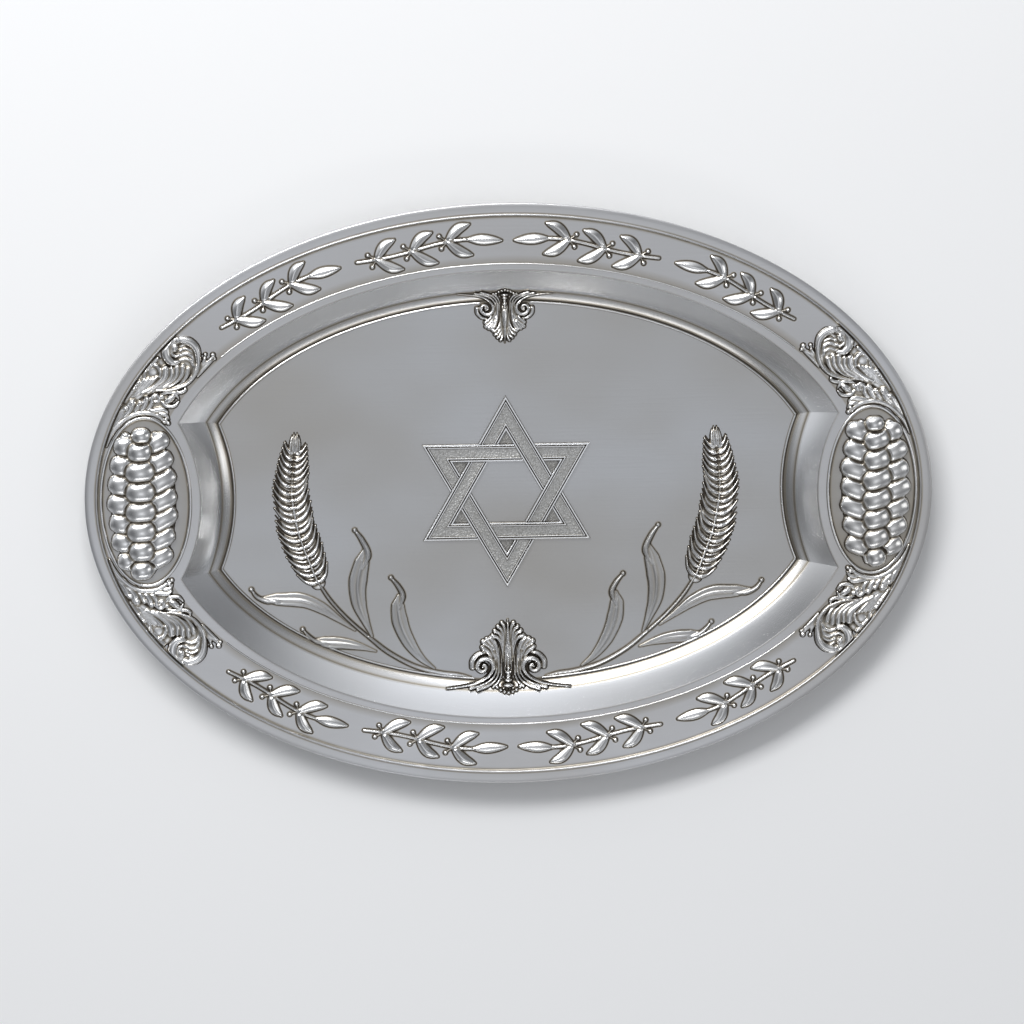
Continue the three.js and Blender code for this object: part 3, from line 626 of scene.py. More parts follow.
@dataclass
class Relief:
    """A chased relief, painted stroke by stroke as a height field above its seat.

    The field is in millimetres. Each stroke lies over those before it and sinks a fine groove round itself.
    Swell is the share of a stroke's height that is even, and the share that follows its width. Foot is the
    height and width of the soft edge outside. Recess is the reach of the darkening in the hollows and its
    most, and outline is the share, place and width of the darkening along the edge. Both are painted shade
    and a painted shadow line, with some oxide.
    """

    name: str
    low: Point
    high: Point
    step: float = 0.3
    margin: float = 0.9
    # A factor on the darkening in the hollows and along the edge: painted shade with some oxide
    soot: float = 1.15
    swell: Point = (0.45, 0.55)
    groove_width: float = 0.32
    foot: Point = (0.07, 0.35)
    recess: Point = (0.8, 0.95)
    outline: Triple = (0.75, 0.1, 0.3)
    clearance: float = 0.03
    sink: float = 0.25
    height: Array = field(init=False)
    inside: Array = field(init=False)
    x: Array = field(init=False)
    y: Array = field(init=False)

    def __post_init__(self) -> None:
        """Lay out the empty field."""
        reach = self.margin + 2 * self.step
        corners = np.array([self.low, self.high])
        (low_x, low_y), (high_x, high_y) = corners.min(0) - reach, corners.max(0) + reach
        xs = np.arange(low_x, high_x, self.step)
        ys = np.arange(low_y, high_y, self.step)
        self.x, self.y = np.meshgrid(xs, ys, indexing="ij")
        self.height = np.zeros_like(self.x)
        self.inside = np.full_like(self.x, -99.0)

    def _window(self, points: Array, reach: float) -> tuple[slice, slice]:
        """Find the part of the field within reach of the points.

        Args:
            points: Rows of x and y.
            reach: The distance from them.

        Returns:
            The slices of the field.
        """
        low = points.min(0) - reach
        high = points.max(0) + reach
        first = np.clip(((low - (self.x[0, 0], self.y[0, 0])) / self.step).astype(int), 0, None)
        last = ((high - (self.x[0, 0], self.y[0, 0])) / self.step).astype(int) + 2
        return slice(first[0], max(last[0], 0)), slice(first[1], max(last[1], 0))

    def stroke(self, path: Path, width: float, height: float, profile: Profile, taper: Taper,
               lift: float = 0.0, groove: float = 0.35, keep: float = 0.5,
               lengthways: Point = (1.0, 1.0)) -> None:
        """Paint one lobe along a path.

        Args:
            path: Points of its spine.
            width: Its widest width.
            height: Its height above the seat at its widest.
            profile: The shape of its back across the width.
            taper: Its width along the path, as a share of the widest.
            lift: A height added under the whole lobe.
            groove: The depth of the groove round it.
            keep: The share of what lies under it that still shows through.
            lengthways: Height factors at the start and the end of the path.
        """
        spine = smooth_path(path)
        window = self._window(spine, width / 2 + 3 * self.margin)
        x = self.x[window]
        y = self.y[window]
        if x.size == 0:
            return
        best = np.full_like(x, 1e9)
        share = np.zeros_like(x)
        cross = np.zeros_like(x)
        count = len(spine) - 1
        for i in range(count):
            a, b = spine[i], spine[i + 1]
            along = b - a
            length = max(float(along @ along), 1e-9)
            t = np.clip(((x - a[0]) * along[0] + (y - a[1]) * along[1]) / length, 0, 1)
            dx = x - a[0] - t * along[0]
            dy = y - a[1] - t * along[1]
            distance = np.hypot(dx, dy)
            nearer = distance < best
            best = np.where(nearer, distance, best)
            share = np.where(nearer, (i + t) / count, share)
            cross = np.where(nearer, np.sign(along[0] * dy - along[1] * dx), cross)
        half = np.maximum(width / 2 * taper(share), 0.05)
        u = best / half
        v = u * cross
        even, follows = self.swell
        start, end = lengthways
        rise = height * (even + follows * taper(share)) * (start + (end - start) * share)
        own = lift + rise * profile(np.clip(u, 0, 1), np.clip(v, -1, 1))
        self._lay(window, own, half - best, groove, keep)

    def blob(self, centre: Point, size: Point, tilt: float, height: float, power: float = 2.0,
             lift: float = 0.0, groove: float = 0.35, keep: float = 0.5, fullness: float = 0.5) -> None:
        """Paint one oval boss.

        Args:
            centre: Its middle.
            size: Its width and length.
            tilt: The turn of its length from +Y, in radians.
            height: Its height above the seat.
            power: 2 for an ellipse, more for a squarer outline.
            lift: A height added under the whole boss.
            groove: The depth of the groove round it.
            keep: The share of what lies under it that still shows through.
            fullness: 0.5 for a round back with steep sides, more for a softer swell.
        """
        reach = max(size) / 2 + 3 * self.margin
        window = self._window(np.array([centre]), reach)
        x = self.x[window] - centre[0]
        y = self.y[window] - centre[1]
        if x.size == 0:
            return
        a = (x * math.cos(tilt) + y * math.sin(tilt)) / (size[0] / 2)
        b = (-x * math.sin(tilt) + y * math.cos(tilt)) / (size[1] / 2)
        u = (np.abs(a) ** power + np.abs(b) ** power) ** (1 / power)
        own = lift + height * np.clip(1 - u ** 2, 0, 1) ** fullness
        self._lay(window, own, (1 - u) * min(size) / 2, groove, keep)

    def _lay(self, window: tuple[slice, slice], own: Array, edge: Array, groove: float, keep: float) -> None:
        """Lay a shape over the field: its own height inside its edge, a groove just outside it.

        Args:
            window: The part of the field.
            own: The shape's height there.
            edge: The distance inside its edge, negative outside.
            groove: The depth of the groove.
            keep: The share of what lies under it that still shows through.
        """
        under = self.height[window]
        outside = np.clip(-edge, 0, None)
        sunk = groove * np.exp(-(outside / self.groove_width) ** 2)
        grooved = np.maximum(under - sunk * np.clip(under, 0, 1), 0)
        self.height[window] = np.where(edge > 0, np.maximum(own, under * keep), grooved)
        self.inside[window] = np.maximum(self.inside[window], edge)

    def build(self, seat: float, ground: Callable[[Array, Array], Array] | None = None,
              soften: float = 0.0) -> bpy.types.Object:
        """Turn the field into a closed mesh standing on its seat.

        Args:
            seat: The height of the sheet under it.
            ground: The height of a curved seat over the field, or None where it is flat.
            soften: A last blur of the height, in cells.

        Returns:
            The new object.
        """
        rise = blur(self.height, soften) if soften else self.height
        foot_height, foot_width = self.foot
        foot = foot_height * np.exp(-(np.clip(-self.inside, 0, None) / foot_width) ** 2)
        rise = np.where(self.inside > 0, rise, foot)
        # Darkening in the hollows and a line along the foot of the relief: painted shade and shadow, with
        # some oxide
        reach, most = self.recess
        hollow = np.clip(blur(rise, reach / self.step) - rise, 0, most)
        share, place, width = self.outline
        outline = np.exp(-((self.inside + place) / width) ** 2)
        patina = np.clip(self.soot * (hollow + share * outline), 0, 1)
        keep = self.inside > -self.margin
        base = ground(self.x, self.y) if ground else np.full_like(self.x, seat)
        points = np.stack([self.x, self.y, base + rise + self.clearance], -1)
        self._snap(points, keep)
        fringe = keep | self._near(keep)
        number = np.full(keep.shape, -1)
        number[fringe] = np.arange(fringe.sum())
        top = points[fringe]
        under = top.copy()
        under[:, 2] = base[fringe] - self.sink
        faces = self._quads(keep, fringe, number)
        count = len(top)
        everything = np.vstack([faces, faces[:, ::-1] + count, self._walls(faces, count)])
        shade = patina[fringe]
        return link_mesh(self.name, np.vstack([top, under]), everything, np.concatenate([shade, shade]))

    def _near(self, keep: Array) -> Array:
        """Mark the cells that touch a kept one.

        Args:
            keep: The kept cells.

        Returns:
            Those cells and the kept ones.
        """
        padded = np.pad(keep, 1)
        near = np.zeros_like(keep)
        for dx in (0, 1, 2):
            for dy in (0, 1, 2):
                near |= padded[dx:dx + keep.shape[0], dy:dy + keep.shape[1]]
        return near

    def _snap(self, points: Array, keep: Array) -> None:
        """Pull the points just outside the outline onto it, so that the edge is smooth.

        Args:
            points: The points of the field, changed in place.
            keep: The kept cells.
        """
        gradient_x, gradient_y = np.gradient(np.clip(self.inside, -3, 3), self.step)
        square = np.maximum(gradient_x ** 2 + gradient_y ** 2, 0.05)
        short = -self.margin - self.inside
        move = self._near(keep) & ~keep
        reach = 1.3 * self.step
        points[..., 0] += np.where(move, np.clip(short * gradient_x / square, -reach, reach), 0)
        points[..., 1] += np.where(move, np.clip(short * gradient_y / square, -reach, reach), 0)

    def _quads(self, keep: Array, fringe: Array, number: Array) -> Array:
        """List the cells with a kept corner and all four corners in use.

        Args:
            keep: The kept points.
            fringe: The points in use.
            number: The vertex number of each point.

        Returns:
            Rows of four vertex numbers.
        """
        def corners(grid: Array) -> list[Array]:
            """Give the four corners of every cell, in order round it."""
            return [grid[:-1, :-1], grid[1:, :-1], grid[1:, 1:], grid[:-1, 1:]]

        full = np.logical_or.reduce(corners(keep)) & np.logical_and.reduce(corners(fringe))
        return np.stack([ids[full] for ids in corners(number)], -1)

    def _walls(self, faces: Array, count: int) -> Array:
        """Join the outline of the upper skin to the outline of the lower one.

        Args:
            faces: The faces of the upper skin.
            count: The number of its points.

        Returns:
            Rows of four vertex numbers.
        """
        starts = faces.reshape(-1)
        ends = np.roll(faces, -1, axis=1).reshape(-1)
        forward = starts.astype(np.int64) * count + ends
        backward = ends.astype(np.int64) * count + starts
        open_edge = ~np.isin(forward, backward)
        a = starts[open_edge]
        b = ends[open_edge]
        return np.stack([b, a, a + count, b + count], -1)


@dataclass
class PlateSheet:
    """The raised sheet with its border, wires and raised lines.

    Wall and ledge are the widths of those bands along the plate, across it and at its straight ends. The
    gap of a wire is its clear distance from the ledge, and about half its own width. The round of the bead
    is its half width and its height over the border.
    """

    finishes: Finishes
    rim_along_length: float = 39.5
    rim_along_width: float = 36.5
    rim_at_ends: float = 62.6
    wall: tuple[float, float, float] = (13.8, 12.2, 11.3)
    ledge: tuple[float, float, float] = (5.7, 5.3, 5.8)
    ledge_rise: float = 3.2
    corner_span: float = 42.5
    corner_step: float = 1.2
    border: float = 5.8
    border_rise: float = 0.8
    bead: float = 1.8
    bead_round: Point = (0.55, 0.65)
    edge_lap: float = 0.4
    sheet: float = 1.0
    line_inset: float = 32.8
    line_size: Point = (0.95, 0.45)
    wire_size: Point = (1.35, 0.95)
    wire_gap: Point = (0.3, 0.65)
    wire_short: float = 0.35
    wire_lap: float = 3.5
    wire_sink: float = 0.2
    # How dark the wires' feet are painted: shade with some oxide
    wire_tone: float = 0.7
    wire_crease: float = 70.0
    end_steps: int = 60
    long_steps: int = 200
    line_steps: int = 220
    end_wire_steps: int = 60
    long_wire_steps: int = 120
    back_steps: int = 8

    def sizes(self, step: float, outward: float = 0.0) -> tuple[float, float, float, float]:
        """Sizes of a well line: step 0 is the wall's top, 1 its foot, 2 the floor's edge.

        Args:
            step: The place on the slope.
            outward: A distance by which the line is moved out.

        Returns:
            The half length, half width, end and half span of the line.
        """
        down = min(step, 1)
        in_ledge = max(step - 1, 0)
        length = LEVELS.half_length - self.rim_along_length - self.wall[0] * down - self.ledge[0] * in_ledge
        width = LEVELS.half_width - self.rim_along_width - self.wall[1] * down - self.ledge[1] * in_ledge
        end = LEVELS.half_length - self.rim_at_ends - self.wall[2] * down - self.ledge[2] * in_ledge
        return length + outward, width + outward, end + outward, self.corner_span - self.corner_step * step

    def end_x(self, size: tuple[float, float, float, float], y: Array) -> Array:
        """Give x on the bowed end line at each y.

        Args:
            size: The sizes of the well line.
            y: The distances from the long axis.

        Returns:
            The distances from the short axis.
        """
        corner_x = size[0] * math.sqrt(1 - (size[3] / size[1]) ** 2)
        bulge = corner_x - size[2]
        radius = (bulge ** 2 + size[3] ** 2) / (2 * bulge)
        return size[2] + radius - np.sqrt(radius ** 2 - y ** 2)

    def height(self, step: float) -> float:
        """Give the height of the sheet's upper face at a place on the slope.

        Args:
            step: The place: 0 is the wall's top, 1 its foot, 2 the floor's edge.

        Returns:
            The height.
        """
        foot = LEVELS.floor + self.ledge_rise
        if step <= 1:
            return foot + (LEVELS.rim - foot) * (1 - step) ** 1.12
        return LEVELS.floor + self.ledge_rise * max(2 - step, 0) ** 1.3

    def ground(self, x: Array, y: Array) -> Array:
        """Give the height of the ledge or floor under points near the short axis.

        Args:
            x: The x of each point.
            y: The y of each point.

        Returns:
            The heights.
        """
        floor_edge = self.sizes(2)
        foot = self.sizes(1)
        edge_y = floor_edge[1] * np.sqrt(1 - (x / floor_edge[0]) ** 2)
        foot_y = foot[1] * np.sqrt(1 - (x / foot[0]) ** 2)
        share = np.clip((np.abs(y) - edge_y) / (foot_y - edge_y), 0, 1)
        beyond = np.clip(np.abs(y) - foot_y, 0, None)
        return LEVELS.floor + self.ledge_rise * share ** 1.3 + beyond * 0.9

    def well_ring(self, step: float, outward: float = 0.0) -> Array:
        """Points round the well at a place on the slope, from the lower right corner.

        Args:
            step: The place on the slope.
            outward: A distance by which the line is moved out.

        Returns:
            Rows of x and y.
        """
        size = self.sizes(step, outward)
        t = np.linspace(-1, 1, self.end_steps, endpoint=False)
        y = t * size[3]
        first = math.asin(size[3] / size[1])
        angle = np.linspace(first, math.pi - first, self.long_steps, endpoint=False)
        half = np.vstack([
            np.stack([self.end_x(size, y), y], -1),
            np.stack([size[0] * np.cos(angle), size[1] * np.sin(angle)], -1),
        ])
        return np.vstack([half, -half])

    def rim_ring(self, inset: float) -> Array:
        """Points round the rim at an inset from the edge, matched to those of the well.

        Args:
            inset: The distance in from the edge.

        Returns:
            Rows of x and y.
        """
        a = LEVELS.half_length - inset
        b = LEVELS.half_width - inset
        first = math.asin(self.corner_span / b)
        angle = np.concatenate([
            np.linspace(-first, first, self.end_steps, endpoint=False),
            np.linspace(first, math.pi - first, self.long_steps, endpoint=False),
        ])
        half = np.stack([a * np.cos(angle), b * np.sin(angle)], -1)
        return np.vstack([half, -half])

    def build(self) -> None:
        """Make the sheet and the pieces that follow its lines."""
        self.build_sheet()
        self.build_border()
        self.build_rim_lines()
        self.build_floor_wires()

    def build_sheet(self) -> None:
        """Make the sheet: floor, ledge, wall and rim above, one sheet's thickness below."""
        rings: list[Array] = []
        tones: list[float] = []
        parts: list[int] = []

        def add(ring: Array, z: float, tone: float, part: int) -> None:
            """Keep one ring with its darkening and the part it starts.

            Args:
                ring: Rows of x and y.
                z: Its height.
                tone: Its darkening, painted shade with some oxide.
                part: The number of the finish that starts at it.
            """
            rings.append(at_height(ring, z))
            tones.append(tone)
            parts.append(part)

        plain, mirror, bright = range(3)
        floor_line = self.well_ring(2)
        for share in (0.02, 0.25, 0.5, 0.75, 0.9, 0.96, 0.985):
            add(floor_line * share, LEVELS.floor, 0.0, plain)
        # Each place on the slope with its darkening, which is painted shade with some oxide in the creases
        slope = ((2.0, 0.8), (1.92, 0.45), (1.7, 0.12), (1.4, 0.05), (1.2, 0.1), (1.05, 0.3), (1.0, 0.5),
                 (0.97, 0.15), (0.9, 0.0), (0.78, 0.0), (0.62, 0.0), (0.46, 0.0), (0.3, 0.0), (0.15, 0.0),
                 (0.06, 0.0))
        for step, tone in slope:
            add(self.well_ring(step), self.height(step), tone, mirror)
        # The wall rolls over into the rim
        add(self.well_ring(0.015), self.height(0) - 0.22, 0.05, mirror)
        add(self.well_ring(0, 0.25), LEVELS.rim - 0.04, 0.1, bright)
        wall_top = self.well_ring(0, 0.9)
        add(wall_top, LEVELS.rim, 0.0, bright)
        line = self.rim_ring(self.line_inset)
        for share in (0.3, 0.6, 0.85):
            add(wall_top * (1 - share) + line * share, LEVELS.rim, 0.0, bright)
        # Each inset on the rim with its darkening: painted shade with some oxide by the raised line and the
        # bead
        rim = ((self.line_inset, 0.2), (28.0, 0.0), (20.0, 0.0), (12.0, 0.0), (9.0, 0.0), (8.1, 0.1),
               (self.border + self.bead, 0.4), (self.border, 0.3))
        for inset, tone in rim:
            add(self.rim_ring(inset), LEVELS.rim, tone, bright)
        add(self.rim_ring(self.edge_lap), LEVELS.rim, 0.0, plain)
        under = LEVELS.rim - self.sheet
        for inset in (self.edge_lap, 12.0, 28.0, self.line_inset):
            add(self.rim_ring(inset), under, 0.05, plain)
        add(self.well_ring(0, 1.5), under, 0.1, plain)
        # The wall and the ledge from below, roughly parallel to the upper face
        outward, down = self.sheet * 0.7, self.sheet * 0.75
        for step in (0.06, 0.2, 0.4, 0.6, 0.8, 0.94, 1.2, 1.6, 1.9):
            add(self.well_ring(step, outward), self.height(step) - down, 0.1, plain)
        add(self.well_ring(2, self.sheet * 0.3), 0.0, 0.15, plain)
        for share in (0.985, 0.9, 0.75, 0.5, 0.25, 0.02):
            add(floor_line * share, 0.0, 0.1, plain)
        finishes = (self.finishes.satin, self.finishes.polished, self.finishes.bright)
        piece = skin("plate_sheet", rings, tones, finishes, parts)
        dress(piece, self.finishes.satin, "plate_body", crease=20.0)

    def build_border(self) -> None:
        """Make the border with the raised line on its inner side."""
        rim = LEVELS.rim
        top = rim + self.border_rise
        inner = self.border + self.bead
        across_bead, above_border = self.bead_round
        # Inset, height and darkening round the border's section: painted shade with some oxide by the bead
        profile = [(self.edge_lap, rim - 0.9, 0.0), (0.12, rim - 0.7, 0.0), (0.0, rim - 0.1, 0.0),
                   (0.05, rim + 0.3, 0.0), (0.25, top - 0.15, 0.0), (0.6, top, 0.0),
                   (2.6, top + 0.05, 0.0), (4.8, top, 0.0), (self.border - 0.1, top - 0.05, 0.3)]
        for angle in (30, 60, 85, 110, 135, 160, 180):
            turn = math.radians(angle)
            across = self.border + across_bead + across_bead * -math.cos(turn)
            profile.append((across, top + above_border * math.sin(turn), 0.0))
        profile += [(self.border + 1.2, rim + 0.35, 0.2), (inner, rim + 0.02, 0.4),
                    (inner, rim - 0.2, 0.4)]
        rings = [at_height(self.rim_ring(inset), z) for inset, z, _ in profile]
        piece = hoop("border_moulding", rings, [tone for _, _, tone in profile])
        dress(piece, self.finishes.bright, "rim_border")

    def sweep(self, name: str, path: Array, size: Point, seat: float, node: str) -> None:
        """Sweep a half-round wire along a plan path and dress it.

        Args:
            name: The new object's name.
            path: Rows of x and y.
            size: The wire's width and height.
            seat: The height of the sheet under it.
            node: The fixed node that it replaces.
        """
        width, rise = size
        tone = self.wire_tone
        along = np.gradient(path, axis=0)
        along /= np.linalg.norm(along, axis=1)[:, None]
        normal = np.column_stack([-along[:, 1], along[:, 0]])
        rings = []
        tones = []
        # The wire darkens towards its feet: painted shade with some oxide where it meets the sheet
        for k in range(self.back_steps + 1):
            turn = math.pi * k / self.back_steps
            side = path + normal * (width / 2 * math.cos(turn))
            rings.append(at_height(side, seat + rise * math.sin(turn)))
            tones.append(tone * abs(math.cos(turn)) ** 4)
        for side in (path - normal * (width / 2), path + normal * (width / 2)):
            rings.append(at_height(side, seat - self.wire_sink))
        piece = hoop(name, rings, tones + [tone, tone], joined=False)
        dress(piece, self.finishes.polished, node, crease=self.wire_crease)

    def rim_point(self, degrees: Array | float, inset: Array | float) -> Array:
        """Give points on the rim by an angle from the right end and an inset from the edge.

        Args:
            degrees: The angle of each point.
            inset: Its distance in from the edge.

        Returns:
            Rows of x and y, or one of them.
        """
        angle = np.radians(degrees)
        x = (LEVELS.half_length - np.asarray(inset)) * np.cos(angle)
        y = (LEVELS.half_width - np.asarray(inset)) * np.sin(angle)
        return np.stack([x, y], -1)

    def build_rim_lines(self) -> None:
        """Make the raised lines between the corner scrolls."""
        reach = extent("rim_line_top")[1][0]
        first = math.degrees(math.acos(reach / (LEVELS.half_length - self.line_inset)))
        for edge in Edge:
            path = self.rim_point(np.linspace(first, 180 - first, self.line_steps), self.line_inset)
            path[:, 1] *= edge.value
            node = f"rim_line_{edge.label}"
            self.sweep(f"raised_line_{edge.label}", path, self.line_size, LEVELS.rim, node)

    def build_floor_wires(self) -> None:
        """Make the wires round the floor's edge."""
        size = self.sizes(2 + (self.wire_gap[0] + self.wire_gap[1]) / self.ledge[1])
        reach = size[3] - self.wire_short
        for side in Side:
            y = np.linspace(-reach, reach, self.end_wire_steps)
            path = np.column_stack([side.value * self.end_x(size, y), y])
            node = f"floor_wire_{side.label}"
            self.sweep(f"end_wire_{side.label}", path, self.wire_size, LEVELS.floor, node)
            for edge in Edge:
                name = f"{edge.label}_{side.label}"
                low, high = extent(f"floor_wire_{name}")
                inner = min(abs(low[0]), abs(high[0])) - self.wire_lap
                ends = math.asin(size[3] / size[1]), math.acos(inner / size[0])
                angle = np.linspace(*ends, self.long_wire_steps)
                path = np.column_stack([side.value * size[0] * np.cos(angle),
                                        edge.value * size[1] * np.sin(angle)])
                self.sweep(f"long_wire_{name}", path, self.wire_size, LEVELS.floor, f"floor_wire_{name}")


@dataclass(frozen=True)
class Strand:
    """One column of lobes down a braided loaf, as the tops of one strand's turns show."""

    offset: float
    bow: float
    width: float
    length: float
    lean: float
    top: float
    pitch: float
    count: int = 7
    half_loaf: float = 38.0

    def lobes(self) -> list[Lobe]:
        """List the strand's lobes.

        Returns:
            The lobes, from the bottom up.
        """
        result = []
        for row in reversed(range(self.count)):
            y = self.top - self.pitch * row
            far = (y / self.half_loaf) ** 2
            uneven = 0.04 * math.sin(2.7 * row + self.offset)
            x = self.offset * (1 - self.bow * far)
            width = self.width * (1 - 0.30 * far + uneven)
            result.append((x, y, width, self.length * (1 - 0.12 * far), self.lean + uneven))
        return result


@dataclass
class Medallion:
    """An oval medallion: its frame wire, its dished field and the braided loaf in it.

    Crown is the half width and half length of the dome under the loaf's lobes.
    """

    finishes: Finishes
    side: Side
    frame_width: float = 1.7
    frame_height: float = 0.6
    frame_shoulder: float = 1.2
    loaf_reach: Point = (19.5, 41.0)
    crown: Point = (17.6, 40.0)
    dome_height: float = 4.2
    lobe_height: float = 3.5

    def build(self) -> None:
        """Make the frame and the loaf."""
        self.build_frame()
        self.build_loaf()

    def build_frame(self) -> None:
        """Make the frame wire with the dished field inside it."""
        node = f"medallion_frame_{self.side.label}"
        centre, half = (values[:2] for values in middle_of(node))
        angle = np.linspace(0, 2 * math.pi, 200, endpoint=False)
        circle = np.stack([np.cos(angle), np.sin(angle)], -1)
        wire, field_part = range(2)
        width, shoulder = self.frame_width, self.frame_shoulder
        # Inset, height, darkening and part from the wire's outer edge to the middle of the field
        # The darkening is painted shade with some oxide, darkest at the wire's feet
        profile = [(0.0, -0.2, 0.6, wire), (0.0, 0.02, 0.6, wire)]
        for k in range(1, 8):
            turn = math.pi * k / 8
            inset = width / 2 * (1 - math.cos(turn))
            profile.append((inset, self.frame_height * math.sin(turn), 0.5 * abs(math.cos(turn)) ** 4, wire))
        profile += [(width + 0.1, 0.32, 0.7, field_part), (width + 0.5, 0.28, 0.3, field_part),
                    (width + shoulder, 0.24, 0.1, field_part)]
        for share, z in ((0.2, 0.17), (0.45, 0.1), (0.7, 0.06), (0.97, 0.04)):
            inset = width + shoulder + (half[0] - width - shoulder) * share
            profile.append((inset, z, 0.06, field_part))
        rings = [at_height(centre + circle * (half - inset), LEVELS.rim + z) for inset, z, _, _ in profile]
        piece = skin(f"medallion_ring_{self.side.label}", rings, [tone for _, _, tone, _ in profile],
                     (self.finishes.polished, self.finishes.satin), [part for _, _, _, part in profile])
        dress(piece, self.finishes.polished, node, crease=60.0)

    def strands(self) -> list[Strand]:
        """List the loaf's strands from the lowest layer up: both flanks, then the middle.

        Returns:
            The three strands.
        """
        if self.side is Side.LEFT:
            return [Strand(-12.0, 0.34, 15.4, 12.2, -0.14, 30.6, 10.4),
                    Strand(9.6, 0.26, 18.8, 12.0, 0.52, 32.4, 10.4),
                    Strand(-1.6, 0.0, 17.2, 12.6, 0.05, 27.6, 10.8)]
        return [Strand(11.8, 0.30, 17.4, 12.2, 0.36, 31.6, 10.4),
                Strand(-9.8, 0.18, 18.0, 12.2, -0.44, 32.2, 10.4),
                Strand(1.4, 0.0, 16.8, 12.8, 0.34, 27.8, 10.8)]

    def build_loaf(self) -> None:
        """Paint the loaf: a domed crown under three strands of swelling lobes."""
        node = f"braided_loaf_{self.side.label}"
        centre = middle_of(node)[0][0]
        x, y = self.loaf_reach
        relief = Relief(f"loaf_{self.side.label}", (centre - x, -y), (centre + x, y), soot=1.35)
        half_width, half_length = self.crown
        relief.blob((centre, 0), (2 * half_width, 2 * half_length), 0, self.dome_height, groove=0, keep=0)
        flanks, middle = self.strands()[:2], self.strands()[2]
        for strand in flanks:
            knob = (strand.offset * 0.68, 34.6, 6.0, 8.6, -0.04 * strand.offset)
            self.paint_lobe(relief, centre, knob, 0.6)
        for strand in flanks:
            for lobe in strand.lobes():
                self.paint_lobe(relief, centre, lobe, 0.86)
        self.paint_lobe(relief, centre, (0.5 * middle.offset, -36.6, 13.6, 8.4, middle.lean), 0.85)
        for lobe in middle.lobes():
            self.paint_lobe(relief, centre, lobe, 1.0)
        self.paint_lobe(relief, centre, (0.3 * middle.offset, 36.2, 11.0, 9.4, 0.0), 0.85)
        piece = relief.build(LEVELS.rim, soften=1)
        dress(piece, self.finishes.chased, node)

    def paint_lobe(self, relief: Relief, centre: float, lobe: Lobe, swell: float) -> None:
        """Paint one lobe, lifted by the dome under its middle.

        Args:
            relief: The loaf's relief.
            centre: The x of the loaf's middle.
            lobe: Its x and y from the middle, width, length and tilt.
            swell: Its height as a share of a middle lobe's.
        """
        x, y, width, length, tilt = lobe
        under = max(1 - (x / (self.crown[0] + 2)) ** 2 - (y / (self.crown[1] + 2)) ** 2, 0.0)
        relief.blob((centre + x, y), (width, length), tilt, self.lobe_height * swell, power=2.5,
                    lift=self.dome_height * math.sqrt(under) * 0.85, groove=0.5, keep=0.0,
                    fullness=0.72)


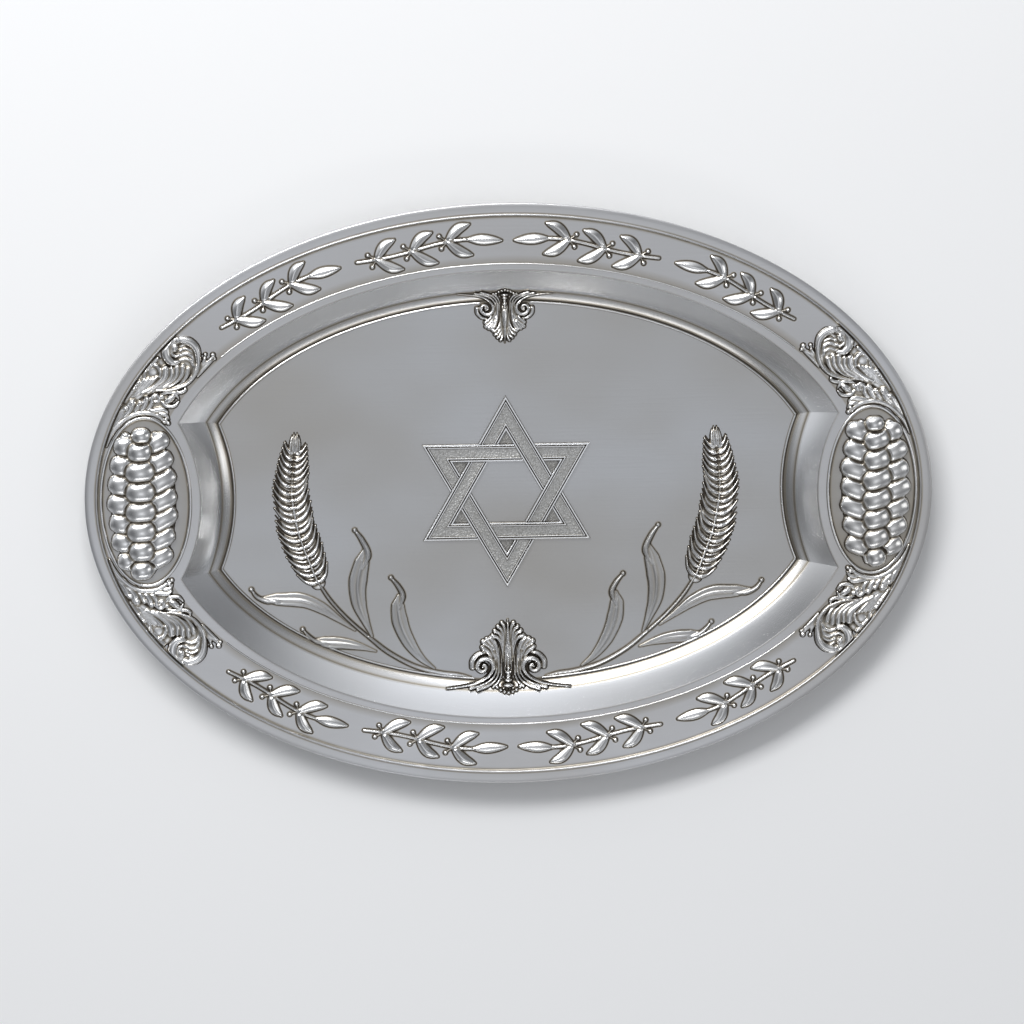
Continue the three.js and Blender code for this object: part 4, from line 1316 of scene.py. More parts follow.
@dataclass
class CornerScroll:
    """An acanthus scroll between a medallion and the rim's ornament.

    Its points are distances from the volute's heart: outward along x, and away from the plate's long axis.
    """

    finishes: Finishes
    sheet: PlateSheet
    side: Side
    edge: Edge
    heart: Point = (177.3, 81.2)
    base_height: float = 0.8
    ground_height: float = 0.5
    collar_gap: float = 2.0
    collar_width: float = 2.4
    collar_height: float = 0.8
    knob: float = 2.5
    knob_height: float = 1.3
    collar_span: Point = (64.0, 140.0)
    frame_gap: float = 0.2
    border_lap: float = 0.5
    fade: float = 0.3
    relief: Relief = field(init=False)

    def __post_init__(self) -> None:
        """Lay out the empty relief over the scroll's corner."""
        low, high = (corner[:2] for corner in extent(f"corner_scroll_{self.name}"))
        self.relief = Relief(f"acanthus_{self.name}", tuple(low - 2), tuple(high + 2), step=0.26,
                             margin=0.4, soot=1.2)

    @property
    def name(self) -> str:
        """The corner, as pieces and nodes name it."""
        return f"{self.edge.label}_{self.side.label}"

    def place(self, points: Path) -> list[Point]:
        """Turn distances from the heart into plan points."""
        x, y = self.heart
        return [(self.side.value * (x + a), self.edge.value * (y + b)) for a, b in points]

    def build(self) -> None:
        """Paint the scroll from its lowest layer up."""
        self.paint_ground()
        self.paint_hanging_lobes()
        self.paint_collar()
        self.paint_rosette()
        self.paint_fan()
        self.paint_border_leaves()
        self.paint_trefoil()
        self.paint_band()
        self.paint_volute()
        self.clear_neighbours()
        piece = self.relief.build(LEVELS.rim, soften=1)
        dress(piece, self.finishes.chased, f"corner_scroll_{self.name}")

    def lobes(self, strokes: Strokes, height: float, taper: Taper = club_taper) -> None:
        """Paint leaf lobes from root to tip, each taller the wider it is.

        Args:
            strokes: The path and width of each lobe.
            height: A factor on their height.
            taper: Their width along the path.
        """
        for path, width in strokes:
            swell = height * min(0.4 + 0.28 * width, 1.7)
            self.relief.stroke(self.place(path), width, swell, rounded, taper, groove=0.8, keep=0.1,
                               lift=self.base_height * height, lengthways=(0.7, 1.1))

    def boss(self, spot: Point, size: Point, tilt: float = 0.0, height: float = 1.0) -> None:
        """Paint one round or oval boss.

        Args:
            spot: Its middle, from the heart.
            size: Its width and length.
            tilt: The turn of its length, in radians.
            height: A factor on its height.
        """
        lean = tilt * self.side.value * self.edge.value
        self.relief.blob(self.place([spot])[0], size, lean, 0.45 * min(size) * height, groove=0.5, keep=0.1,
                         lift=self.base_height * height)

    def beads(self, spots: Sequence[tuple[Point, float]], height: float) -> None:
        """Paint round bosses, each a spot and a size across."""
        for spot, size in spots:
            self.boss(spot, (size, size), height=height)

    def paint_ground(self) -> None:
        """Paint the low raised ground that ties the leaves together."""
        swells = [([(-1.6, 1.8), (-2.6, -2.0), (-2.6, -7.0)], 12.0),
                  ([(27.0, -23.6), (19.0, -16.4), (11.6, -7.6)], 9.5),
                  ([(20.0, -19.4), (9.0, -15.2), (1.0, -11.6)], 9.0),
                  ([(35.0, -37.6), (28.8, -31.6), (22.0, -29.2)], 7.5),
                  ([(23.0, -29.4), (15.4, -27.0), (7.4, -26.0)], 6.5),
                  ([(20.0, -31.8), (13.0, -32.0), (8.0, -32.4)], 3.4)]
        for path, width in swells:
            self.relief.stroke(self.place(path), width, self.ground_height, cushion, even_taper, groove=0.0,
                               keep=1.0)

    def paint_border_leaves(self) -> None:
        """Paint the small leaves that lie along the border's raised line."""
        leaves = [([(37.8, -41.0), (35.6, -36.2), (33.4, -31.4)], 2.4),
                  ([(31.0, -27.0), (27.6, -23.2), (24.8, -19.2)], 2.2),
                  ([(29.4, -25.8), (25.8, -20.8), (22.4, -15.8)], 2.6),
                  ([(17.2, -9.4), (14.4, -6.2), (11.6, -3.0)], 2.0)]
        self.lobes(leaves, 0.9)
        self.beads([((24.8, -19.4), 2.4), ((22.4, -16.0), 2.7)], 1.0)

    def paint_hanging_lobes(self) -> None:
        """Paint the second tier, which hangs from the band's underside towards the collar."""
        tier = [([(37.4, -42.6), (34.4, -36.6), (31.6, -31.4)], 2.6),
                ([(35.6, -40.6), (32.0, -34.6), (29.4, -29.6)], 2.8),
                ([(29.6, -36.8), (24.6, -32.0), (21.6, -27.0)], 3.0),
                ([(26.6, -35.4), (21.0, -31.2), (17.8, -24.8)], 3.4),
                ([(33.0, -38.8), (28.8, -33.0), (25.8, -26.9)], 4.4),
                ([(23.2, -34.6), (18.4, -31.6), (16.0, -28.6)], 2.4)]
        self.lobes(tier, 0.85)
        curl = [(22.0, -33.2), (17.4, -30.6), (15.4, -27.4), (15.2, -24.4), (13.0, -22.9), (11.2, -24.4),
                (12.0, -26.6), (13.8, -26.2)]
        self.lobes([(curl, 2.3)], 0.95, curl_taper)
        self.beads([((13.2, -24.9), 1.5)], 1.05)
        heads = [((25.6, -27.0), 3.6), ((29.4, -29.9), 2.5), ((21.5, -27.0), 2.5), ((17.7, -24.9), 2.7)]
        self.beads(heads, 1.2)
        tails = [([(20.6, -33.9), (12.6, -33.4), (8.0, -33.9), (6.0, -36.4)], 2.6),
                 ([(21.6, -33.4), (14.2, -31.4), (9.6, -30.7), (6.6, -32.4)], 2.9)]
        self.lobes(tails, 0.85, leaf_taper)

    def paint_rosette(self) -> None:
        """Paint the bean-shaped boss under the volute with the crescents round it."""
        crescents = [([(4.8, -20.6), (0.6, -21.8), (-2.4, -20.8), (-3.0, -19.0)], 2.4),
                     ([(10.4, -22.6), (6.2, -21.6), (2.6, -22.6), (0.8, -25.2)], 2.2),
                     ([(10.0, -26.6), (7.4, -29.0), (3.4, -29.0), (0.8, -26.6)], 2.4)]
        self.lobes(crescents, 0.85, curl_taper)
        self.boss((5.4, -25.2), (3.9, 7.2), 0.98, 0.95)
        self.boss((9.6, -24.0), (2.0, 2.4), height=0.8)

    def paint_fan(self) -> None:
        """Paint the fluted lobes that spring from one root on the band and curl up under the volute."""
        fan = [([(28.0, -25.4), (23.0, -19.6), (18.8, -14.0)], 1.8),
               ([(27.0, -24.8), (21.2, -19.2), (16.6, -14.0)], 1.7),
               ([(26.0, -24.2), (19.6, -19.0), (14.4, -13.8)], 1.7),
               ([(24.8, -23.6), (17.8, -18.8), (12.4, -13.2)], 1.8),
               ([(8.0, -20.6), (0.6, -17.6), (-3.2, -13.8), (-4.6, -9.0)], 2.6),
               ([(11.0, -20.8), (3.4, -17.4), (-0.8, -12.8), (-1.8, -7.6)], 2.8),
               ([(14.6, -21.2), (6.6, -17.4), (2.2, -12.8), (1.4, -7.4)], 3.2),
               ([(17.6, -21.6), (9.8, -17.6), (4.8, -13.4), (4.4, -8.6)], 2.8),
               ([(20.6, -22.0), (13.4, -18.0), (8.4, -13.6), (7.4, -8.8)], 4.4)]
        self.lobes(fan, 0.95, scoop_taper)
        self.boss((14.3, -9.8), (6.6, 6.2), 0.4, 0.25)
        shell = [(18.8, -13.4), (18.4, -9.2), (15.4, -6.4), (12.0, -7.2), (10.4, -10.2), (10.8, -13.2)]
        self.lobes([(shell, 2.2)], 1.2, curl_taper)

    def paint_band(self) -> None:
        """Paint the fluted band that carries the fan and rolls over into the volute."""
        flames = [
            ([(3.0, -19.4), (-4.0, -15.8), (-7.6, -10.4), (-6.8, -5.6), (-3.6, -3.6), (-0.2, -4.4)], 1.7),
            ([(-3.0, -17.4), (-7.6, -11.4), (-8.4, -5.4), (-6.0, -1.6), (-3.0, -0.6), (-0.2, -2.0)], 2.2),
            ([(-6.8, -12.6), (-8.6, -6.0), (-7.8, -0.8), (-5.0, 1.4), (-2.6, 1.9), (-0.8, 0.8)], 1.6),
            ([(-8.9, -6.0), (-8.6, 0.0), (-6.4, 3.2), (-3.4, 4.3), (-0.6, 3.0)], 1.9),
        ]
        self.lobes(flames, 0.95, curl_taper)
        band = [(13.0, -20.8), (6.6, -20.4), (0.4, -19.2), (-5.2, -16.2), (-9.0, -10.8), (-10.2, -4.6),
                (-9.4, 1.4), (-6.4, 5.2), (-2.2, 6.8), (2.4, 6.6)]
        self.lobes([(band, 4.6)], 1.15, band_taper)

    def paint_volute(self) -> None:
        """Paint the nested crescents that roll up into the heart."""
        self.boss((2.6, 2.6), (4.0, 5.4), 0.2, 0.9)
        crescents = [([(-0.6, 4.6), (2.4, 5.4), (4.6, 3.0), (4.4, -0.4), (2.0, -2.2), (-0.2, -1.2)], 2.2),
                     ([(1.0, 7.6), (5.4, 5.8), (7.2, 1.8), (6.6, -2.6), (3.8, -5.4), (0.8, -5.2)], 5.0)]
        self.lobes(crescents, 1.15, crescent_taper)
        self.beads([((-0.6, 0.9), 1.7)], 1.1)

    def paint_trefoil(self) -> None:
        """Paint the small leaf with bulbs at its tips that leaves the back of the scroll."""
        stems = [([(-9.0, -11.6), (-12.6, -6.6), (-14.0, -1.8)], 2.6),
                 ([(-9.6, -12.4), (-14.6, -6.8), (-18.2, -2.4)], 3.0),
                 ([(-9.4, -13.6), (-14.0, -8.2), (-18.6, -4.2)], 2.0)]
        self.lobes(stems, 0.8, leaf_taper)
        self.beads([((-14.0, -1.4), 2.2), ((-18.0, -1.8), 2.9), ((-18.9, -3.8), 2.1)], 0.85)

    def frame_oval(self) -> Triple:
        """Give the x of the medallion's middle and the half sizes of its frame."""
        centre, half = middle_of(f"medallion_frame_{self.side.label}")
        return centre[0], half[0], half[1]

    def paint_collar(self) -> None:
        """Paint the band that hugs the medallion's frame, with the knob at its inner end."""
        centre, half_x, half_y = self.frame_oval()
        path = []
        for degrees in np.linspace(*self.collar_span, 12):
            angle = math.radians(degrees)
            path.append((centre - self.side.value * (half_x + self.collar_gap) * math.cos(angle),
                         self.edge.value * (half_y + self.collar_gap) * math.sin(angle)))
        self.relief.stroke(path, self.collar_width, self.collar_height, rounded, even_taper, groove=0.8,
                           keep=0.1, lift=0.5)
        x, y = path[0]
        for across, along in ((0.0, 1.2), (-1.3, -0.9), (1.3, -0.9)):
            self.relief.blob((x + across, y + self.edge.value * along), (self.knob, self.knob), 0,
                             self.knob_height, groove=0.8, keep=0.2, lift=0.7)

    def clear_neighbours(self) -> None:
        """Cut the relief back from the border's raised line and the medallion's frame."""
        centre, half_x, half_y = self.frame_oval()
        relief = self.relief
        oval = np.hypot((relief.x - centre) / half_x, relief.y / half_y)
        from_frame = (oval - 1) * half_x + self.frame_gap
        inset = self.sheet.border + self.sheet.bead
        rim = np.hypot(relief.x / (LEVELS.half_length - inset), relief.y / (LEVELS.half_width - inset))
        from_border = (1 - rim) * (LEVELS.half_width - inset) + self.border_lap
        room = np.minimum(from_frame, from_border) - relief.margin
        relief.inside = np.minimum(relief.inside, room)
        relief.height *= np.clip(room / self.fade, 0, 1)


@dataclass
class Palmette:
    """A palmette with two volutes, rising from the wall's foot over the ledge and the floor."""

    finishes: Finishes
    sheet: PlateSheet
    edge: Edge
    centre: float = ORNAMENT_CENTRE
    relief_height: float = 2.8
    wall_lap: float = 1.4
    relief: Relief = field(init=False)

    def __post_init__(self) -> None:
        """Lay out the empty relief from the wall's foot inwards."""
        low, high = self.place([(-36, -3), (36, 41)])
        self.relief = Relief(f"palmette_relief_{self.edge.label}", low, high, step=0.22, margin=0.5,
                             soot=0.75)

    @property
    def tall(self) -> float:
        """The height of its main lobes."""
        return self.relief_height * self.scale[0]

    @property
    def scale(self) -> tuple[float, float]:
        """The top palmette is the smaller one."""
        return (0.76, 0.72) if self.edge is Edge.TOP else (1.0, 1.0)

    def place(self, points: Path, hand: int = 1) -> list[Point]:
        """Turn distances across and in from the wall's foot into plan points.

        Args:
            points: The distances.
            hand: 1, or -1 for the mirrored half.

        Returns:
            The points, in order.
        """
        foot = self.sheet.sizes(1)[1]
        across, reach = self.scale
        return [(self.centre + hand * u * across, self.edge.value * (foot - r * reach)) for u, r in points]

    def build(self) -> None:
        """Paint the palmette from its lowest layer up."""
        self.paint_lobes()
        self.paint_arms()
        self.paint_bud()
        over_wall = np.abs(self.relief.y) - self.sheet.sizes(1)[1]
        self.relief.inside = np.minimum(self.relief.inside, self.wall_lap - over_wall)
        piece = self.relief.build(LEVELS.floor, ground=self.sheet.ground, soften=1)
        dress(piece, self.finishes.chased, f"palmette_{self.edge.label}")

    def paint_lobes(self) -> None:
        """Paint the lobes on both sides, then the rib down the middle with a thin line on each side."""
        across = self.scale[0]
        low = [([(6.4, 13.6), (8.4, 18.4), (12.2, 21.2), (16.6, 20.2), (19.4, 16.8), (19.6, 13.2)], 3.2),
               ([(6.2, 9.0), (8.0, 16.0), (10.6, 21.2), (13.8, 24.2)], 3.2),
               ([(5.5, 10.0), (7.0, 18.0), (9.4, 24.0), (13.4, 27.2)], 3.2),
               ([(5.0, 10.0), (6.0, 18.0), (8.2, 25.0), (11.4, 28.6)], 3.0),
               ([(4.4, 10.0), (5.2, 18.0), (6.6, 25.2), (9.2, 29.4)], 3.0),
               ([(7.4, 22.0), (7.0, 15.0), (6.6, 11.0), (9.0, 6.6), (14.0, 3.6), (21.0, 2.0)], 1.9),
               ([(4.8, 24.0), (5.2, 16.0), (5.2, 10.0), (7.2, 5.8), (11.4, 2.9), (17.0, 1.2)], 1.9),
               ([(3.4, 20.0), (3.6, 13.0), (3.8, 8.8), (5.4, 5.0), (8.4, 2.4)], 1.8)]
        tip = [([(2.4, 16.0), (3.4, 25.0), (5.6, 29.4), (8.2, 30.6)], 2.8),
               ([(2.0, 17.0), (2.8, 27.0), (4.6, 31.8), (7.0, 33.2)], 2.7),
               ([(1.6, 18.0), (2.2, 29.0), (3.5, 34.0), (5.3, 35.6)], 2.5),
               ([(1.1, 19.0), (1.4, 31.0), (2.1, 35.8), (3.2, 37.7)], 2.3)]
        for strokes, lift in ((low, 0.0), (tip, 0.15)):
            for path, width in strokes:
                for hand in (-1, 1):
                    self.relief.stroke(self.place(path, hand), width * across, self.tall * 0.9, rounded,
                                       club_taper, lift=lift, groove=1.3, keep=0.05, lengthways=(0.75, 1.1))
        rib = self.place([(0, 8), (0, 24), (0, 39.6)])
        self.relief.stroke(rib, 2.8 * across, self.tall * 1.1, keeled, leaf_taper, groove=1.0, keep=0.1)
        for hand in (-1, 1):
            line = self.place([(1.9, 8.0), (1.5, 18.0), (1.1, 28.0)], hand)
            self.relief.stroke(line, 1.1 * across, self.tall, rounded, leaf_taper, groove=0.6, keep=0.3)

    def paint_arms(self) -> None:
        """Paint the two arms that roll up into volutes, each with its eye."""
        across = self.scale[0]
        arm = [(34, 2.2), (26, 2.9), (18.4, 4.2), (12.8, 6.6), (9.2, 10.2), (8.3, 14.0), (10.0, 17.2),
               (13.2, 18.0), (16.2, 16.2), (17.0, 13.2), (15.2, 11.0), (12.8, 11.4), (12.0, 13.6),
               (13.6, 14.8)]
        for hand in (-1, 1):
            self.relief.stroke(self.place(arm, hand), 2.9 * across, self.tall * 1.15, rounded, arm_taper,
                               groove=1.2, keep=0.05)
            eye = self.place([(14.0, 13.4)], hand)[0]
            self.relief.blob(eye, (1.9 * across, 1.9 * across), 0, self.tall * 1.15, groove=0.9, keep=0.1)

    def paint_bud(self) -> None:
        """Paint the stacked bud at the root and the arc of pearls under it."""
        across, along = self.scale
        bud = ((3.2, 6.4), (5.8, 5.0), (8.0, 3.2), (10.2, 4.2), (12.6, 2.2))
        for inward, width in bud:
            spot = self.place([(0.0, inward)])[0]
            self.relief.blob(spot, (width * across, 2.7 * along), 0, self.tall * 1.25, groove=1.2, keep=0.05)
        for pearl in ((0.0, -0.4), (2.2, 0.0), (4.3, 0.9), (6.2, 2.2)):
            for hand in ((-1, 1) if pearl[0] else (1,)):
                spot = self.place([pearl], hand)[0]
                self.relief.blob(spot, (2.1 * across, 2.1 * across), 0, self.tall * 0.85, groove=0.9,
                                 keep=0.1)


@dataclass
class WheatSpray:
    """One wheat spray: an ear, a stem and four leaves, drawn out from the ornament's centre line."""

    finishes: Finishes
    side: Side
    centre: float = ORNAMENT_CENTRE
    pairs: int = 17
    stem_size: Point = (1.6, 1.4)
    stalk_size: Point = (2.2, 1.5)
    grain_size: Point = (2.9, 2.5)
    bristle_size: Point = (1.1, 1.5)
    spine_size: Point = (1.2, 2.1)
    crest_size: Point = (1.7, 2.1)
    leaf_height: float = 1.75

    def place(self, points: Path) -> list[Point]:
        """Mirror a path to this side of the centre line."""
        return [(self.centre + self.side.value * x, y) for x, y in points]

    def build(self) -> None:
        """Make the stem, the ear and the leaves."""
        self.build_stem()
        self.build_ear()
        self.build_leaves()

    def build_stem(self) -> None:
        """Paint the stem."""
        path = self.place([(103.4, -48.2), (96.9, -58.4), (87.6, -68.9), (76.5, -79.0), (65.3, -88.1),
                           (51.3, -95.9), (37.4, -100.0), (27.0, -101.4), (20.6, -102.6)])
        span = np.array(path)
        relief = Relief(f"stem_{self.side.label}", tuple(span.min(0) - 2), tuple(span.max(0) + 2), soot=0.85)
        relief.stroke(path, *self.stem_size, rounded, stem_taper)
        relief.stroke(path[3:], *self.stalk_size, keeled, stem_taper, groove=0.2)
        dress(relief.build(LEVELS.floor), self.finishes.satin, f"wheat_stem_{self.side.label}")

    def build_ear(self) -> None:
        """Paint the ear: curved grains in pairs, each with a fine bristle, from the tip down."""
        axis = smooth_path(self.place([(103.5, -48.4), (107.3, -38.9), (111.1, -28.7), (113.8, -20.2),
                                       (116.2, -6.7), (117.0, 1.2), (116.5, 9.6), (115.9, 16.4),
                                       (115.0, 23.7), (114.6, 29.0)]), 200)
        relief = Relief(f"ear_{self.side.label}", tuple(axis.min(0) - 14), tuple(axis.max(0) + (14, 6)),
                        step=0.22, margin=0.3, soot=1.7)
        tangent = np.gradient(axis, axis=0)
        tangent /= np.linalg.norm(tangent, axis=1)[:, None]

        def spot(t: float, out: float, up: float, hand: int) -> Point:
            """Give a point beside the axis.

            Args:
                t: The share of the axis.
                out: The distance out from it.
                up: The distance along it.
                hand: 1, or -1 for the other side.

            Returns:
                Its x and y.
            """
            i = min(int(t * 199), 199)
            across = np.array([tangent[i, 1], -tangent[i, 0]]) * hand
            return tuple(axis[i] + across * out + tangent[i] * up)

        relief.stroke([tuple(p) for p in axis[::20]], 16.0, 0.7, rounded, ear_taper, groove=0)
        for row in reversed(range(2 * self.pairs)):
            t = row / (2 * self.pairs) * 0.93
            reach = float(grain_reach(t))
            size = self.bristle_size if row % 2 else self.grain_size
            for hand in (-1, 1):
                grain = [spot(t, 0.3, 0.2, hand), spot(t, reach * 0.34, reach * 0.10, hand),
                         spot(t, reach * 0.68, reach * 0.36, hand), spot(t, reach * 0.98, reach * 0.92, hand)]
                relief.stroke(grain, *size, rounded, grain_taper, groove=0.6, keep=0.1,
                              lengthways=(1.1, 0.7))
        spine = [tuple(p) for p in axis[:190:18]]
        relief.stroke(spine, *self.spine_size, rounded, thorn_taper, groove=0.8, keep=0.4)
        for shift, up in ((-2.2, 4.2), (2.2, 4.2), (-1.0, 5.6), (1.0, 5.6), (0.0, 4.4)):
            tip = [spot(0.88, shift, 0, 1), spot(0.97, shift * 1.1, 0.4, 1), spot(0.999, shift * 0.8, up, 1)]
            relief.stroke(tip, *self.crest_size, rounded, leaf_taper, groove=0.7, keep=0.1)
        piece = relief.build(LEVELS.floor, soften=1)
        dress(piece, self.finishes.chased, f"wheat_ear_{self.side.label}")

    def build_leaves(self) -> None:
        """Paint the four leaves, each with rolled edges, a rib and a turned tip."""
        leaves = {
            "upright": ([(74.4, -78.9), (78.0, -70.0), (81.2, -60.5), (81.9, -50.0), (79.8, -39.5),
                         (77.4, -31.0)], 9.6, [(79.4, -41.5), (76.0, -33.5), (79.0, -25.6), (83.0, -19.8)]),
            "inner": ([(40.5, -97.4), (47.6, -91.6), (54.0, -83.0), (58.4, -73.0), (60.0, -63.5),
                       (59.4, -57.0)], 8.4, [(59.4, -64.0), (57.4, -56.8), (59.6, -51.4), (63.6, -46.4)]),
            "outer": ([(83.6, -75.2), (93.0, -68.6), (101.6, -62.6), (111.9, -58.2), (124.1, -57.4),
                       (133.0, -56.8)], 7.6,
                      [(124.0, -58.6), (131.6, -58.2), (137.0, -55.6), (139.8, -51.6)]),
            "low": ([(72.4, -87.2), (80.3, -84.6), (89.6, -82.6), (99.0, -81.8), (104.6, -80.4)], 6.6,
                    [(98.4, -83.0), (104.4, -81.4), (108.8, -78.2), (112.2, -74.2)]),
        }
        for leaf, (blade, width, tip) in leaves.items():
            name = f"{leaf}_{self.side.label}"
            blade, tip = self.place(blade), self.place(tip)
            span = np.array(blade + tip)
            relief = Relief(f"leaf_{name}", tuple(span.min(0) - 6), tuple(span.max(0) + 6), step=0.26,
                            soot=0.8)
            relief.stroke(blade, width, self.leaf_height, veined, blade_taper, groove=0.3)
            relief.stroke(tip, width * 0.34, 1.9, rounded, tip_taper, groove=0.4, keep=0.5)
            relief.blob(tip[-1], (2.4, 2.4), 0, 1.8, groove=0.3, keep=0.5)
            dress(relief.build(LEVELS.floor, soften=1), self.finishes.satin, f"wheat_leaf_{name}")


@dataclass
class Star:
    """The six-pointed star: two woven bands with raised borders round a punched matt field."""

    finishes: Finishes
    centre: float = ORNAMENT_CENTRE
    band: float = 9.8
    gap: float = 0.25
    under: float = 0.4
    tip_gap: float = 0.2
    tip_height: float = 0.25
    tip_tone: float = 0.2
    foot: float = -0.1
    top: float = 2.0
    field_height: float = 0.95
    outer: float = field(init=False)

    def __post_init__(self) -> None:
        """Read the distance of the bands' outer edges from the star's middle."""
        self.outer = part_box("star_triangle_up")[1].y / MM / 2

    def build(self) -> None:
        """Make both bands and the punched tips."""
        for name, first_corner in (("up", 90.0), ("down", -90.0)):
            self.build_band(name, first_corner)
        for index in range(6):
            self.build_tip(index)

    def build_tip(self, index: int) -> None:
        """Make the punched field inside one point of the star.

        Args:
            index: The point, counted from 0.
        """
        corner = 60.0 * index + 30
        inside = self.outer - self.band - self.tip_gap
        lines = [(corner, self.outer + self.tip_gap), (corner + 60, inside), (corner - 60, inside)]
        outline = [self.meet(lines[k], lines[(k + 1) % 3]) + (self.centre, 0.0) for k in range(3)]
        points = [(*spot, LEVELS.floor + z) for z in (self.foot, self.tip_height) for spot in outline]
        faces = [(0, 2, 1), (3, 4, 5), (0, 1, 4), (0, 4, 3), (1, 2, 5), (1, 5, 4), (2, 0, 3), (2, 3, 5)]
        tones = np.full(len(points), self.tip_tone)
        piece = link_mesh(f"punched_tip_{index + 1}", np.array(points), np.array(faces), tones)
        dress(piece, self.finishes.matted)

    def profile(self) -> list[tuple[float, float, float, int]]:
        """List offset across the band, height, darkening and material along the band's section.

        Returns:
            The points of the section, from the outer edge to the inner one.
        """
        top, low = self.top, self.field_height
        matt, mirror = range(2)
        # Painted shadow and shade with some oxide: at the outer foot, in the border's groove and by the field
        rise = [(0.0, self.foot, 0.9, mirror), (0.04, 0.4, 0.9, mirror), (0.14, 1.4, 0.35, mirror),
                (0.28, 1.85, 0.0, mirror), (0.45, top, 0.0, mirror), (0.95, top, 0.0, mirror),
                (1.12, 1.8, 0.1, mirror), (1.26, 1.2, 0.95, mirror), (1.44, 1.15, 0.95, mirror),
                (1.58, 1.6, 0.2, mirror), (1.74, 1.8, 0.0, mirror), (2.08, 1.8, 0.0, mirror),
                (2.22, 1.5, 0.1, mirror), (2.32, low + 0.05, 0.7, matt), (2.55, low, 0.05, matt)]
        return rise + [(self.band - offset, z, tone, part) for offset, z, tone, part in rise[::-1]]

    def build_band(self, name: str, first_corner: float) -> None:
        """Make one band as a closed hoop that drops low where it passes under the other band.

        Args:
            name: Which band, as its node is named.
            first_corner: The angle of one of its corners, in degrees.
        """
        centre = np.array([self.centre, 0.0])
        profile = self.profile()
        stations = [station for k in range(3) for station in self.stations(first_corner - 120 * k)]
        rings = []
        for offset, z, _, _ in profile:
            row = []
            for own, other, low in stations:
                crossed = (other[0], self.outer - offset) if other[1] is None else other
                spot = self.meet((own, self.outer - offset), crossed) + centre
                row.append((spot[0], spot[1], LEVELS.floor + (min(z, self.under) if low else z)))
            rings.append(np.array(row))
        piece = hoop(f"woven_band_{name}", rings, [tone for _, _, tone, _ in profile])
        ahead = profile[1:] + profile[:1]
        parts = [max(here[3], there[3]) for here, there in zip(profile, ahead)]
        part_finishes(piece, (self.finishes.matted, self.finishes.polished), np.repeat(parts, len(stations)))
        dress(piece, self.finishes.matted, f"star_triangle_{name}", crease=40.0)

    def stations(self, corner: float) -> list[tuple[float, tuple[float, float | None], bool]]:
        """List the cross cuts of a band round one corner, from one under-crossing to the next.

        Each is the normal of the side it cuts, the line that cuts it, and whether the band is low there. A
        line is its normal in degrees and its distance; no distance stands for the band's own next side.

        Args:
            corner: The angle of the corner, in degrees.

        Returns:
            The cross cuts in order.
        """
        near = corner + 60
        far = corner - 60
        before = (corner, self.outer + self.gap)
        after = (corner - 120, self.outer - self.band - self.gap)
        return [(near, before, True), (near, before, False), (near, (far, None), False),
                (far, after, False), (far, after, True)]

    @staticmethod
    def meet(first: tuple[float, float], second: tuple[float, float]) -> Array:
        """Cross two lines, each given by its normal in degrees and its distance.

        Args:
            first: One line.
            second: The other.

        Returns:
            The x and y where they meet.
        """
        angles = np.radians([first[0], second[0]])
        normals = np.array([[math.cos(angle), math.sin(angle)] for angle in angles])
        return np.linalg.solve(normals, np.array([first[1], second[1]]))


@dataclass
class RimSprig:
    """A generic leafy sprig on the rim: waved stem, paired leaves, berries and an end leaf."""

    finishes: Finishes
    sheet: PlateSheet
    edge: Edge
    index: int
    pitch: float = 24.6
    span: float = 21.0
    leaf_length: float = 10.5
    leaf_width: float = 5.6
    leaf_height: float = 1.7
    stem_size: Point = (1.7, 1.15)
    stem_wave: float = 1.6
    twig_size: Point = (0.8, 0.8)
    berry_size: float = 2.3
    berry_height: float = 1.25
    berry_reach: float = 3.4

    def build(self) -> None:
        """Paint the sprig."""
        middle = 90 + self.pitch * (self.index - 2.5)
        direction = -1 if middle > 90 else 1
        middle_inset = (self.sheet.border + self.sheet.bead + self.sheet.line_inset) / 2
        name = f"{self.edge.label}_{self.index}"

        def at(degrees: float, inset: float) -> Point:
            """Give a plan point on this long side."""
            x, y = self.sheet.rim_point(degrees, inset)
            return float(x), float(self.edge.value * y)

        def angle(t: float) -> float:
            """Give the rim angle at a share of the sprig."""
            return middle + direction * self.span * (t - 0.5)

        def inset(t: float) -> float:
            """Give the stem's inset at a share of the sprig."""
            return middle_inset + self.stem_wave * math.sin(2 * math.pi * t)

        low, high = (corner[:2] for corner in extent(f"rim_sprig_{name}"))
        relief = Relief(f"sprig_{name}", tuple(low - 1), tuple(high + 1), margin=0.8)
        stem = [at(angle(t), inset(t)) for t in np.linspace(0, 0.92, 8)]
        relief.stroke(stem, *self.stem_size, rounded, even_taper)
        turn = direction * self.leaf_length / 3
        for t in (0.14, 0.40, 0.66):
            for hand in (-1, 1):
                path = [at(angle(t) + turn * along, inset(t) + hand * self.leaf_length * 0.92 * out)
                        for along, out in ((0, 0), (0.5, 0.62), (1.0, 0.86))]
                self.paint_leaf(relief, path)
                berry = at(angle(t) - turn * 0.28, inset(t) + hand * self.berry_reach)
                twig = [at(angle(t), inset(t)), berry]
                relief.stroke(twig, *self.twig_size, rounded, even_taper, groove=0.2)
                relief.blob(berry, (self.berry_size, self.berry_size), 0, self.berry_height, groove=0.3,
                            keep=0.2)
        self.paint_leaf(relief, [at(angle(t), inset(min(t, 1))) for t in (0.82, 0.92, 1.04)])
        piece = relief.build(LEVELS.rim, soften=1)
        dress(piece, self.finishes.chased, f"rim_sprig_{name}")

    def paint_leaf(self, relief: Relief, path: Path) -> None:
        """Paint one leaf along a path."""
        relief.stroke(path, self.leaf_width, self.leaf_height, keeled, leaf_taper, groove=0.5, keep=0.2)


